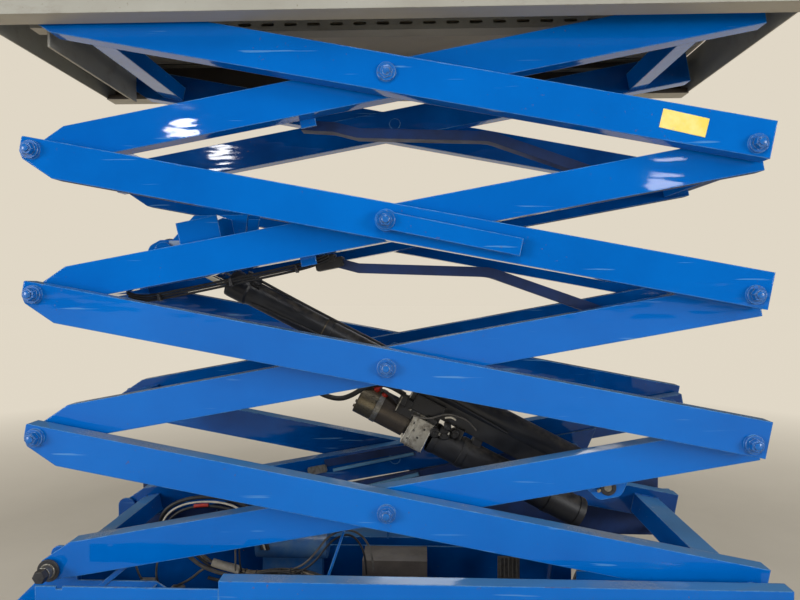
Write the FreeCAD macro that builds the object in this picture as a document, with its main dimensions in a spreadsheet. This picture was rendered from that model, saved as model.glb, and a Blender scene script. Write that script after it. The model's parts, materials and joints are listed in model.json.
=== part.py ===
import FreeCAD, Part
import math
import os
import re
import Sketcher

# A narrow electric slab scissor lift. Millimetres, +X to the steered end, +Y to the
# machine's left, +Z up. The origin is on the ground under the middle of the chassis.
# The stack stands part raised, at rest_angle.

doc = FreeCAD.newDocument("scissor_lift")
sizes = doc.addObject("Spreadsheet::Sheet", "sizes")
places = doc.addObject("Spreadsheet::Sheet", "places")

# alias, value
SIZES = [
    # scissor stack
    ("arm_span", 2100), ("rest_angle", 11.5), ("arm_depth", 106), ("arm_width", 50),
    ("arm_wall", 5), ("pin_offset", 18), ("arm_left_over", 34), ("arm_right_over", 42),
    ("cut_run", 108), ("cut_step", 13), ("end_face", 44), ("end_step", 21),
    ("arm_inset", 190), ("arm_gap", 10),
    ("pin_radius", 20), ("pin_play", 0.08), ("boss_radius", 29), ("head_radius", 26),
    ("head_length", 7), ("weld_gap", 0.3), ("cross_tube", 60), ("cross_third", 60),
    ("cross_last_in", 20), ("cross_left", 104), ("top_cross_left", 180),
    ("top_cross_in", 152), ("top_cross_width", 79), ("foot_cross_in", 78),
    ("foot_cross_width", 90),
    ("pivot_x", -1000), ("pivot_z", 570),
    # lift cylinder and what it carries
    ("low_pin_in", 392), ("low_pin_drop", 88), ("rod_pin_run", 301),
    ("rod_pin_rise", 82), ("rod_shown", 225), ("barrel_radius", 43),
    ("bore_radius", 35), ("rod_radius", 28), ("piston_start", 221), ("eye_radius", 44),
    ("eye_half", 30), ("low_bar_radius", 22), ("lobe_round", 26), ("mid_half", 62),
    ("ear_sheet", 12), ("gland_length", 70), ("gland_over", 5), ("band_length", 24),
    ("band_from_gland", 292), ("mount_start", 60), ("mount_end", 640), ("mount_half", 34),
    ("mount_drop", 84),
    ("motor_radius", 56), ("motor_length", 182), ("motor_drop", 145), ("unit_near", 794),
    ("bell_length", 8), ("valve_length", 76), ("valve_drop", 108), ("valve_height", 103),
    ("tank_radius", 50), ("tank_length", 555), ("tank_over", 50), ("tank_drop", 156),
    # chassis
    ("chassis_front", 1220), ("chassis_rear", -1189), ("chassis_width", 810),
    ("floor_z", 128), ("sheet", 6), ("steer_room", 138), ("end_drop", 165),
    ("rail_width", 45), ("rail_above", 43), ("arm_sweep", 68),
    ("rail_rear", -434), ("rail_front", 1128), ("thin_rail_above", 20), ("thin_rail_rear", -955),
    ("lug_height", 96), ("lug_width", 64), ("slide_play", 0.5), ("roller_width", 34),
    ("rigger_pitch", 380), ("wheel_gap", 225), ("bow_gap", 135),
    ("top_roller", 40), ("kingpin_in", 91.5),
    ("wheelbase", 1850), ("tyre_radius", 190), ("tyre_width", 127), ("tyre_wall", 56),
    ("tyre_round", 16), ("hub_radius", 62), ("kingpin_boss", 22), ("motor_hub", 44),
    ("kingpin_radius", 18), ("axle_radius", 32),
    ("steer_arm", 130), ("link_radius", 12), ("tray_length", 1100), ("tray_low", 160),
    ("tray_high", 470), ("tray_depth", 170), ("guard_length", 1150), ("guard_height", 105),
    ("guard_low", 24), ("step_pitch", 165), ("stile_half", 180),
    # platform
    ("platform_rear", -1130), ("platform_front", 1160), ("edge_drop", 67),
    ("edge_height", 150), ("side_sheet", 4), ("lip_width", 66), ("lip_rise", 18),
    ("slot_length", 42), ("slot_width", 11), ("slot_pitch", 77), ("carrier_drop", 102),
    ("rib_depth", 44), ("rib_width", 56), ("rib_sheet", 3), ("rail_height", 1100), ("tube", 32),
    ("toe_height", 150),
    ("toe_sheet", 3), ("ext_length", 1200), ("ext_inset", 42), ("gate_half", 180),
    # safety bar and cable bridges
    ("bar_length", 386), ("bar_height", 50), ("bar_depth", 18), ("bar_eye", 31),
    ("bridge_pin_run", 789),
    ("bridge_pin_drop", 52), ("bridge_in", 95), ("bridge_width", 44),
    ("bridge_first", 560), ("bridge_second", 372), ("bridge_depth", 30),
    ("bridge_wall", 3), ("bridge_pin", 9), ("bridge_dip", 150), ("bridge_kink", 39),
    ("bridge_fall", 170),
    # hinges of the trays, the guards and the gate
    ("hinge_pin", 5), ("hinge_boss", 10), ("hinge_play", 0.5), ("guard_hinge_z", 140),
    ("guard_hinge_in", 9), ("bracket_width", 12), ("gate_pin", 4), ("gate_boss", 7),
    # pieces inside the chassis
    ("spare_radius", 52), ("spare_length", 250), ("spare_tank_x", -325), ("spare_in", 145),
    ("spare_drop", 48), ("charger_length", 230), ("charger_x", 35), ("charger_drop", 110),
    # control boxes on the extension and on the rear end plate
    ("box_width", 220), ("box_height", 197), ("box_depth", 150), ("box_slope", 62),
    ("box_in", 40), ("stick_height", 78), ("stick_radius", 9), ("knob_radius", 17),
    ("ground_width", 170), ("ground_height", 110), ("ground_depth", 20), ("ground_in", 25),
    # tie-down eyes in the end plates
    ("tie_bore", 20), ("tie_boss", 34), ("tie_depth", 18), ("tie_in", 135), ("tie_height", 72),
]

# alias, formula over the sizes and the places before it
PLACES = [
    ("inner_face", "chassis_width/2-arm_inset"),
    ("web_face", "inner_face-arm_gap"),
    ("front_web_face", "chassis_width/2-tyre_width-steer_room"),
    ("bridge_face", "inner_face-bridge_in"),
    ("stage_rise", "arm_span*sin(rest_angle)"),
    ("stage_run", "arm_span*cos(rest_angle)"),
    ("outer_face", "inner_face+arm_width+arm_gap"),
    ("arm_tilt", "asin(2*pin_offset/arm_span)"),
    ("slide_x", "pivot_x+stage_run"),
    ("top_z", "pivot_z+4*stage_rise"),
    ("deck_z", "top_z-edge_drop+edge_height"),
    ("low_pin_run", "arm_span-low_pin_in"),
    ("cross_last", "arm_span-cross_last_in"),
    ("top_cross_right", "arm_span-top_cross_in"),
    ("foot_cross", "arm_span-foot_cross_in"),
    ("low_pin_x", "pivot_x+low_pin_run*cos(rest_angle)+low_pin_drop*sin(rest_angle)"),
    ("low_pin_z", "pivot_z+low_pin_run*sin(rest_angle)-low_pin_drop*cos(rest_angle)"),
    ("rod_pin_x", "pivot_x+rod_pin_run*cos(rest_angle)-rod_pin_rise*sin(rest_angle)"),
    ("rod_pin_z", "pivot_z+2*stage_rise+rod_pin_run*sin(rest_angle)"
                  "+rod_pin_rise*cos(rest_angle)"),
    ("cylinder_run", "low_pin_x-rod_pin_x"),
    ("cylinder_rise", "rod_pin_z-low_pin_z"),
    ("cylinder_slope", "atan(cylinder_rise/cylinder_run)"),
    ("cylinder_length", "cylinder_run/cos(cylinder_slope)"),
    ("barrel_length", "cylinder_length-rod_shown"),
    ("rear_axle_x", "-wheelbase/2"),
    ("front_axle_x", "wheelbase/2"),
    ("wheel_y", "chassis_width/2-tyre_width/2"),
    ("kingpin_y", "wheel_y-kingpin_in"),
    ("rim_radius", "tyre_radius-tyre_wall"),
    ("chassis_top", "pivot_z+rail_above"),
    ("platform_third", "(platform_front-platform_rear)/3"),
    ("side_y", "chassis_width/2"),
    ("end_top", "pivot_z-end_drop"),
    ("bar_face", "outer_face+arm_width+head_length+weld_gap"),
    ("tie_y", "chassis_width/2-tie_in"),
    ("tie_z", "floor_z+tie_height"),
    ("tray_hinge_x", "-tray_length/2-hinge_boss"),
    ("tray_hinge_y", "-chassis_width/2+4+hinge_boss-1"),
    ("guard_hinge_y", "-chassis_width/2+guard_hinge_in"),
    ("gate_hinge_x", "platform_rear+1+tube+gate_boss+1"),
    ("gate_hinge_y", "-gate_half+3"),
]


def fill_sheets():
    for row, (alias, value) in enumerate(SIZES, 1):
        sizes.set(f"A{row}", alias)
        sizes.set(f"B{row}", str(value))
        sizes.setAlias(f"B{row}", alias)
    for row, (alias, formula) in enumerate(PLACES, 1):
        places.set(f"A{row}", alias)
        places.setAlias(f"B{row}", alias)
    for row, (alias, formula) in enumerate(PLACES, 1):
        places.set(f"B{row}", "=" + named(formula))
    doc.recompute()


SIZE_NAMES = {alias for alias, value in SIZES}
PLACE_NAMES = {alias for alias, formula in PLACES}


def named(text):
    """Put the sheet's name before each alias in a formula."""
    def prefix(match):
        word = match.group(0)
        if word in SIZE_NAMES:
            return "sizes." + word
        if word in PLACE_NAMES:
            return "places." + word
        return word
    return re.sub(r"[a-z_]+[a-z_0-9]*", prefix, str(text))


def block(x, y, z):
    """A box between pairs of low and high formulas."""
    box = doc.addObject("Part::Box", "block")
    for prop, axis, (low, high) in (("Length", "x", x), ("Width", "y", y), ("Height", "z", z)):
        box.setExpression(prop, named(f"({high})-({low})"))
        box.setExpression(f"Placement.Base.{axis}", named(low))
    return box


AXIS_TURNS = {
    "x": FreeCAD.Rotation(FreeCAD.Vector(0, 1, 0), 90),
    "y": FreeCAD.Rotation(FreeCAD.Vector(1, 0, 0), -90),
    "z": FreeCAD.Rotation(),
}


def rod(radius, axis, span, at):
    """A cylinder along an axis, between two formulas; at gives the other two coordinates."""
    low, high = span
    cylinder = doc.addObject("Part::Cylinder", "rod")
    cylinder.Placement = FreeCAD.Placement(FreeCAD.Vector(), AXIS_TURNS[axis])
    cylinder.setExpression("Radius", named(radius))
    cylinder.setExpression("Height", named(f"({high})-({low})"))
    base = dict(zip([name for name in "xyz" if name != axis], at))
    base[axis] = low
    for name, formula in base.items():
        cylinder.setExpression(f"Placement.Base.{name}", named(formula))
    return cylinder


def fuse(parts):
    joined = doc.addObject("Part::MultiFuse", "fuse")
    joined.Shapes = parts
    return joined


def cut(base, tools):
    result = doc.addObject("Part::Cut", "cut")
    result.Base = base
    result.Tool = tools[0] if len(tools) == 1 else fuse(tools)
    return result


def group(parts):
    together = doc.addObject("Part::Compound", "group")
    together.Links = parts
    return together


def mirrored(part):
    """The same piece on the machine's other side."""
    mirror = doc.addObject("Part::Mirroring", "mirror")
    mirror.Source = part
    mirror.Normal = FreeCAD.Vector(0, 1, 0)
    return mirror


def both_sides(part):
    return group([part, mirrored(part)])


def sketch_outline(body, plane, points):
    """A closed sketch whose corners are held at pairs of formulas."""
    sketch = body.newObject("Sketcher::SketchObject", "outline")
    role = f"{plane}_Plane"
    origin_plane = next(f for f in body.Origin.OriginFeatures if f.Role == role)
    sketch.AttachmentSupport = [(origin_plane, "")]
    sketch.MapMode = "FlatFace"
    count = len(points)
    turn = 2 * math.pi / count
    ring = [FreeCAD.Vector(math.cos(turn * i), math.sin(turn * i), 0) * 100
            for i in range(count)]
    for i in range(count):
        sketch.addGeometry(Part.LineSegment(ring[i], ring[(i + 1) % count]))
    for i in range(count):
        sketch.addConstraint(Sketcher.Constraint("Coincident", i, 2, (i + 1) % count, 1))
    for i, (across, up) in enumerate(points):
        for kind, formula, start in (("DistanceX", across, ring[i].x),
                                     ("DistanceY", up, ring[i].y)):
            index = sketch.addConstraint(Sketcher.Constraint(kind, -1, 1, i, 1, start))
            sketch.setExpression(f"Constraints[{index}]", named(formula))
    return sketch


PAD_ENDS = {"XZ": "y", "YZ": "x", "XY": "z"}
PAD_SIGNS = {"XZ": -1, "YZ": 1, "XY": 1}


def plate(plane, points, span, rounds=()):
    """A padded outline between two formulas; rounds are (corner number, radius formula)."""
    body = doc.addObject("PartDesign::Body", "plate")
    pad = body.newObject("PartDesign::Pad", "pad")
    pad.Profile = sketch_outline(body, plane, points)
    low, high = span
    pad.setExpression("Length", named(f"({high})-({low})"))
    start = high if PAD_SIGNS[plane] < 0 else low
    if rounds:
        doc.recompute()
        for number, radius in rounds:
            spot = corner_of(pad.Profile[0], number)
            base = body.Tip
            names = edges_through(base.Shape, spot, plane)
            fillet = body.newObject("PartDesign::Fillet", "round")
            fillet.Base = (base, names)
            fillet.setExpression("Radius", named(radius))
            body.Tip = fillet
            doc.recompute()
    body.setExpression(f"Placement.Base.{PAD_ENDS[plane]}", named(start))
    return body


def corner_of(sketch, number):
    """Where a corner of the outline lies in the body's own frame."""
    return sketch.Placement.multVec(sketch.getPoint(number, 1))


def edges_through(shape, spot, plane):
    """The straight edges along the pad's direction that pass through a corner."""
    along = {"XZ": FreeCAD.Vector(0, 1, 0), "YZ": FreeCAD.Vector(1, 0, 0),
             "XY": FreeCAD.Vector(0, 0, 1)}[plane]
    names = []
    for i, edge in enumerate(shape.Edges, 1):
        first, last = edge.Vertexes[0].Point, edge.Vertexes[-1].Point
        run = last - first
        if run.Length < 0.01 or abs(abs(run.normalize().dot(along)) - 1) > 1e-6:
            continue
        offset = first - spot
        if (offset - along * offset.dot(along)).Length < 0.01:
            names.append(f"Edge{i}")
    return names


def turned(points):
    """A full turn of an outline, drawn as (radius, along), about the Y axis."""
    body = doc.addObject("PartDesign::Body", "turning")
    turning = body.newObject("PartDesign::Revolution", "revolution")
    sketch = sketch_outline(body, "XY", points)
    turning.Profile = sketch
    turning.ReferenceAxis = (sketch, ["V_Axis"])
    turning.Angle = 360
    return body


nodes = []


def node(label, part, at=None, turn=None):
    """Name a finished piece and, where given, place it and turn it about +Y."""
    if at is not None:
        part = group([part])
    if turn is not None:
        part.Placement = FreeCAD.Placement(
            FreeCAD.Vector(), FreeCAD.Rotation(FreeCAD.Vector(0, 1, 0), 10))
        part.setExpression("Placement.Rotation.Angle", named(turn))
    if at is not None:
        for axis, formula in zip("xyz", at):
            part.setExpression(f"Placement.Base.{axis}", named(formula))
    part.Label = label
    nodes.append(part)
    return part


fill_sheets()


# Scissor arms. Each pair lies in its pin frame: the left pin at the origin, the right
# pin arm_span along X. The tube's own axis runs slightly across the line of pins.

def arm_tube(kind):
    """One arm's tube, cut off at the left end where it would meet the arm beside it."""
    side = "" if kind == "inner" else "-"
    other = "-" if kind == "inner" else ""
    half = "arm_depth/2"
    face = "inner_face" if kind == "inner" else "outer_face"
    points = [
        ("-arm_left_over", f"{other}{half}"),
        ("arm_span+arm_right_over", f"{other}{half}"),
        ("arm_span+arm_right_over", f"{side}{half}"),
        ("cut_run-arm_left_over", f"{side}{half}"),
        ("cut_step-arm_left_over", f"{side}({half}-arm_depth+end_face+end_step)"),
        ("-arm_left_over", f"{side}({half}-arm_depth+end_face)"),
    ]
    span = (f"-{face}-arm_width", f"-{face}")
    shell = plate("XZ", points, span, [(5, "arm_wall*2"), (4, "arm_wall*2"), (0, "arm_wall")])
    hollow = block(("cut_run-arm_left_over", "arm_span+arm_right_over+arm_wall"),
                   (f"-{face}-arm_width+arm_wall", f"-{face}-arm_wall"),
                   (f"-{half}+arm_wall", f"{half}-arm_wall"))
    tube = cut(shell, [hollow])
    tube.Placement = FreeCAD.Placement(
        FreeCAD.Vector(), FreeCAD.Rotation(FreeCAD.Vector(0, 1, 0), 1))
    tube.setExpression("Placement.Rotation.Angle", named(f"{side or '+'}arm_tilt"))
    tube.setExpression("Placement.Base.z", named(f"{side or '+'}pin_offset"))
    return tube


PIN_RUNS = ["0", "arm_span/2", "arm_span"]


def inner_pair(foot_pins):
    """Two inner arms with bored bosses; the top pair carries its slide pins."""
    span = ("-inner_face-arm_width", "-inner_face")
    bosses = [rod("boss_radius", "y", span, (run, "0")) for run in PIN_RUNS]
    bored = PIN_RUNS[:2] if foot_pins else PIN_RUNS
    bores = [rod("pin_radius+pin_play", "y",
                 ("-inner_face-arm_width-1", "-inner_face+1"), (run, "0")) for run in bored]
    arm = cut(fuse([arm_tube("inner")] + bosses), bores)
    if foot_pins:
        arm = fuse([arm] + slide_roller("side_y-side_sheet-slide_play", "inner_face+arm_wall",
                                        "top_roller"))
    return arm


def slide_roller(reach, root, radius):
    """The pin at an arm's right end and the roller that runs in the channel beside it."""
    return [
        rod("pin_radius", "y", (f"-({reach})", f"-({root})"), ("arm_span", "0")),
        rod(radius, "y", (f"-({reach})", f"-({reach})+roller_width"), ("arm_span", "0")),
    ]


def outer_pair(first):
    """Two outer arms with the pins that join them to the inner arms."""
    pins = []
    for run in PIN_RUNS:
        last = first and run == "arm_span"
        inward = "-outer_face" if last else "-inner_face-pin_play"
        pins.append(rod("pin_radius", "y", ("-outer_face-arm_width", inward), (run, "0")))
        pins.append(rod("head_radius", "y",
                        ("-outer_face-arm_width-head_length", "-outer_face-arm_width+arm_wall"),
                        (run, "0")))
        pins.append(rod("boss_radius", "y", ("-outer_face-arm_width", "-outer_face"),
                        (run, "0")))
    if first:
        pins += slide_roller("chassis_width/2-sheet-slide_play", "outer_face+arm_width",
                             "rail_above-sheet-slide_play")
    return fuse([arm_tube("outer")] + pins)


def cross_tube(run, half, low, high, width="cross_tube"):
    """A tube across the machine between two arms."""
    outer = block((f"{run}-{width}/2", f"{run}+{width}/2"), (f"-({half})", half), (low, high))
    inner = block((f"{run}-{width}/2+arm_wall", f"{run}+{width}/2-arm_wall"),
                  (f"-({half})-1", f"{half}+1"),
                  (f"{low}+arm_wall", f"{high}-arm_wall"))
    return cut(outer, [inner])


def build_arms():
    half = "inner_face-weld_gap"
    # stage, cross tubes: (run, low, high)
    inner_cross = {
        1: [("cross_left", "-22", "38"), ("cross_last", "-60", "0")],
        2: [("cross_left", "-20", "40"), ("cross_last", "-60", "0")],
        3: [("cross_third", "-22", "38"), ("cross_last", "-60", "0")],
        4: [("cross_left", "-20", "40"), ("top_cross_right", "-60", "0")],
    }
    for stage in range(1, 5):
        arm = inner_pair(stage == 4)
        node(f"inner_arms_{stage}", both_sides(arm),
             ("pivot_x", "0", f"pivot_z+{stage - 1}*stage_rise"), "-rest_angle")
        tubes = [cross_tube(run, half, low, high) for run, low, high in inner_cross[stage]]
        if stage == 1:
            tubes += low_pin_hangers()
        if stage > 2:
            tubes.append(bridge_ear())
        node(f"inner_cross_{stage}", group(tubes),
             ("pivot_x", "0", f"pivot_z+{stage - 1}*stage_rise"), "-rest_angle")
        outer = both_sides(outer_pair(stage == 1))
        extra = []
        reach = "outer_face-weld_gap"
        if stage == 1:
            extra = [cross_tube("foot_cross", reach, "-27", "43", "foot_cross_width")]
        if stage == 4:
            extra = [cross_tube("top_cross_left", reach, "-53", "-3", "top_cross_width")]
        node(f"outer_arms_{stage}", group([outer] + extra),
             ("pivot_x", "0", f"pivot_z+{stage}*stage_rise"), "rest_angle")


def bridge_ear():
    """A tab inside the right inner arm and the pin that a cable bridge hangs from."""
    face = "-inner_face+weld_gap"
    tab = block(("bridge_pin_run-24", "bridge_pin_run+24"), (face, f"{face}+ear_sheet/2"),
                ("-bridge_pin_drop-20", "-10"))
    pin = rod("bridge_pin", "y", (face, "-bridge_face+6"), ("bridge_pin_run", "-bridge_pin_drop"))
    return fuse([tab, pin])


def low_pin_hangers():
    """Lobes under the lowest inner arms and the bar that the cylinder's foot turns on."""
    half = "inner_face-weld_gap"
    lobe = "low_bar_radius+ear_sheet"
    points = [
        (f"low_pin_run-3*({lobe})", "-arm_depth/4"),
        (f"low_pin_run-({lobe})", f"-low_pin_drop-({lobe})"),
        (f"low_pin_run+({lobe})", f"-low_pin_drop-({lobe})"),
        (f"low_pin_run+3*({lobe})", "-arm_depth/4"),
    ]
    hanger = plate("XZ", points, (f"-({half})", f"-({half})+ear_sheet"),
                   [(1, "lobe_round"), (2, "lobe_round")])
    bar = rod("low_bar_radius", "y", (f"-({half})", half), ("low_pin_run", "-low_pin_drop"))
    return [fuse([hanger, mirrored(hanger), bar])]


build_arms()


# Lift cylinder, in its own frame: the foot pin at the origin, the rod's eye along X,
# the power unit on +Z, which hangs below once the cylinder is turned into place.

def build_cylinder():
    tube = rod("barrel_radius", "x", ("eye_radius-8", "barrel_length"), ("0", "0"))
    foot = rod("eye_radius", "y", ("-eye_half", "eye_half"), ("0", "0"))
    gland_start = "barrel_length-gland_length"
    gland = rod("barrel_radius+gland_over", "x", (gland_start, "barrel_length"), ("0", "0"))
    band_start = f"{gland_start}-band_from_gland"
    band = rod("barrel_radius+gland_over", "x", (f"{band_start}-band_length", band_start),
               ("0", "0"))
    # the channel under the barrel that carries the power unit
    mount = block(("mount_start", "mount_end"), ("-mount_half", "mount_half"), ("0", "mount_drop"))
    bore = rod("bore_radius", "x", ("eye_radius+20", "barrel_length-gland_length+14"), ("0", "0"))
    mouth = rod("rod_radius+pin_play", "x",
                ("barrel_length-gland_length+13", "barrel_length+1"), ("0", "0"))
    eye = rod("low_bar_radius+pin_play", "y", ("-eye_half-1", "eye_half+1"), ("0", "0"))
    barrel = cut(fuse([tube, foot, gland, band, mount]), [bore, mouth, eye])
    place = ("low_pin_x", "0", "low_pin_z")
    turn = "180 deg+cylinder_slope"
    node("cylinder_barrel", barrel, place, turn)

    shaft = rod("rod_radius", "x", ("piston_start", "cylinder_length"), ("0", "0"))
    piston = rod("bore_radius-pin_play", "x", ("piston_start", "piston_start+60"), ("0", "0"))
    eye = rod("eye_radius", "y", ("-eye_half", "eye_half"), ("cylinder_length", "0"))
    pin = rod("pin_radius", "y", ("-mid_half+weld_gap", "mid_half-weld_gap"),
              ("cylinder_length", "0"))
    node("cylinder_rod", fuse([shaft, piston, eye, pin]), place, turn)

    axis = ("0", "motor_drop")
    back = "unit_near-motor_length"
    motor = rod("motor_radius", "x", (back, "unit_near"), axis)
    bell = rod("motor_radius-10", "x", (f"{back}-bell_length", f"{back}+1"), axis)
    node("pump_motor", fuse([motor, bell]), place, turn)
    front = f"{back}-bell_length-weld_gap"
    valve = block((f"{front}-valve_length", front), ("-45", "45"),
                  ("valve_drop", "valve_drop+valve_height"))
    stem = block((f"{front}-valve_length+20", f"{front}-20"), ("-25", "25"),
                 ("mount_drop+weld_gap", "valve_drop+1"))
    node("valve_block", fuse([valve, stem]), place, turn)
    tank = rod("tank_radius", "x", ("-tank_over", "tank_length-tank_over"), ("0", "tank_drop"))
    straps = [block((start, f"{start}+30"), ("-22", "22"), ("mount_drop+weld_gap", "tank_drop"))
              for start in ("mount_start+20", "tank_length-tank_over-150")]
    node("oil_tank", fuse([tank] + straps), place, turn)


build_cylinder()


# Cheeks on the third pair of inner arms, which hold the rod's eye between them.

def build_rod_bracket():
    outline = [
        ("-70", "-10"), ("-44", "27"), ("-7", "38"), ("35", "31"), ("121", "94"),
        ("298", "61"), ("255", "-68"), ("-52", "-68"),
    ]
    points = [(f"rod_pin_run+({run})", f"rod_pin_rise+({rise})") for run, rise in outline]
    ear = plate("XZ", points, ("-mid_half-ear_sheet", "-mid_half"), [(1, "30")])
    boss = rod("boss_radius", "y", ("-mid_half-ear_sheet-10", "-mid_half"),
               ("rod_pin_run", "rod_pin_rise"))
    low, high = "-inner_face+weld_gap", "-mid_half-1"
    box = block(("rod_pin_run+110", "rod_pin_run+240"), (low, high),
                ("rod_pin_rise-60", "rod_pin_rise+55"))
    cheek = fuse([ear, boss, box])
    node("rod_bracket", both_sides(cheek), ("pivot_x", "0", "pivot_z+2*stage_rise"),
         "-rest_angle")


build_rod_bracket()


# The folded maintenance bar on the right face of the third outer arm.

def build_safety_bar():
    face = "-bar_face"
    half = "bar_height/2"
    outside = f"{face}-bar_depth"
    points = [("0", f"-{half}"), ("bar_length", f"-{half}"), ("bar_length", half), ("0", half)]
    strip = plate("XZ", points, (outside, face))
    hollow = block(("bar_eye*2", "bar_length+1"), (f"{outside}+3", f"{face}+1"),
                   (f"-{half}+3", f"{half}-3"))
    # its round end and the collar that turns on the pin's head
    collar = rod("bar_eye", "y", (outside, "-outer_face-arm_width-weld_gap"), ("0", "0"))
    seat = rod("head_radius+weld_gap", "y", (face, "-outer_face-arm_width+1"), ("0", "0"))
    bar = cut(fuse([cut(strip, [hollow]), collar]), [seat])
    node("safety_bar", bar,
         ("pivot_x+stage_run/2", "0", "pivot_z+2.5*stage_rise"), "rest_angle")


build_safety_bar()


# Cable bridges: bent channels that hang from the two upper inner arms between the pairs.

def build_bridges():
    def outline(shift, longer):
        high, low = f"bridge_depth/2-{shift}", f"-bridge_depth/2+{shift}"
        last = f"bridge_first+bridge_second+{longer}"
        fall = f"bridge_fall-{longer}*0.38"
        return [
            (f"-30-{longer}", high), ("bridge_dip/2", f"{high}-bridge_kink/6"),
            ("bridge_dip", f"{high}-bridge_kink*2/3"),
            (f"bridge_first-{shift}/2", f"{high}-bridge_kink"), (last, f"{high}-{fall}"),
            (f"{last}-10", f"{low}-{fall}"),
            (f"bridge_first-8+{shift}/2", f"{low}-bridge_kink"),
            ("bridge_dip-4", f"{low}-bridge_kink*2/3"), ("bridge_dip/2-4", f"{low}-bridge_kink/6"),
            (f"-30-{longer}", low),
        ]
    for stage in (3, 4):
        channel = cut(
            plate("XZ", outline("0", "0"), ("-bridge_face-bridge_width", "-bridge_face"),
                  [(3, "160"), (6, "130")]),
            [plate("XZ", outline("bridge_wall", "1"),
                   ("-bridge_face-bridge_width+bridge_wall", "-bridge_face-bridge_wall"),
                   [(3, "157"), (6, "133")]),
             rod("bridge_pin+pin_play", "y",
                 ("-bridge_face-bridge_width-1", "-bridge_face+1"), ("0", "0"))])
        rise = f"pivot_z+{stage - 1}*stage_rise"
        at = ("pivot_x+bridge_pin_run*cos(rest_angle)+bridge_pin_drop*sin(rest_angle)", "0",
              f"{rise}+bridge_pin_run*sin(rest_angle)-bridge_pin_drop*cos(rest_angle)")
        node(f"cable_bridge_{stage}", channel, at, "0")


build_bridges()


# Chassis.

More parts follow.
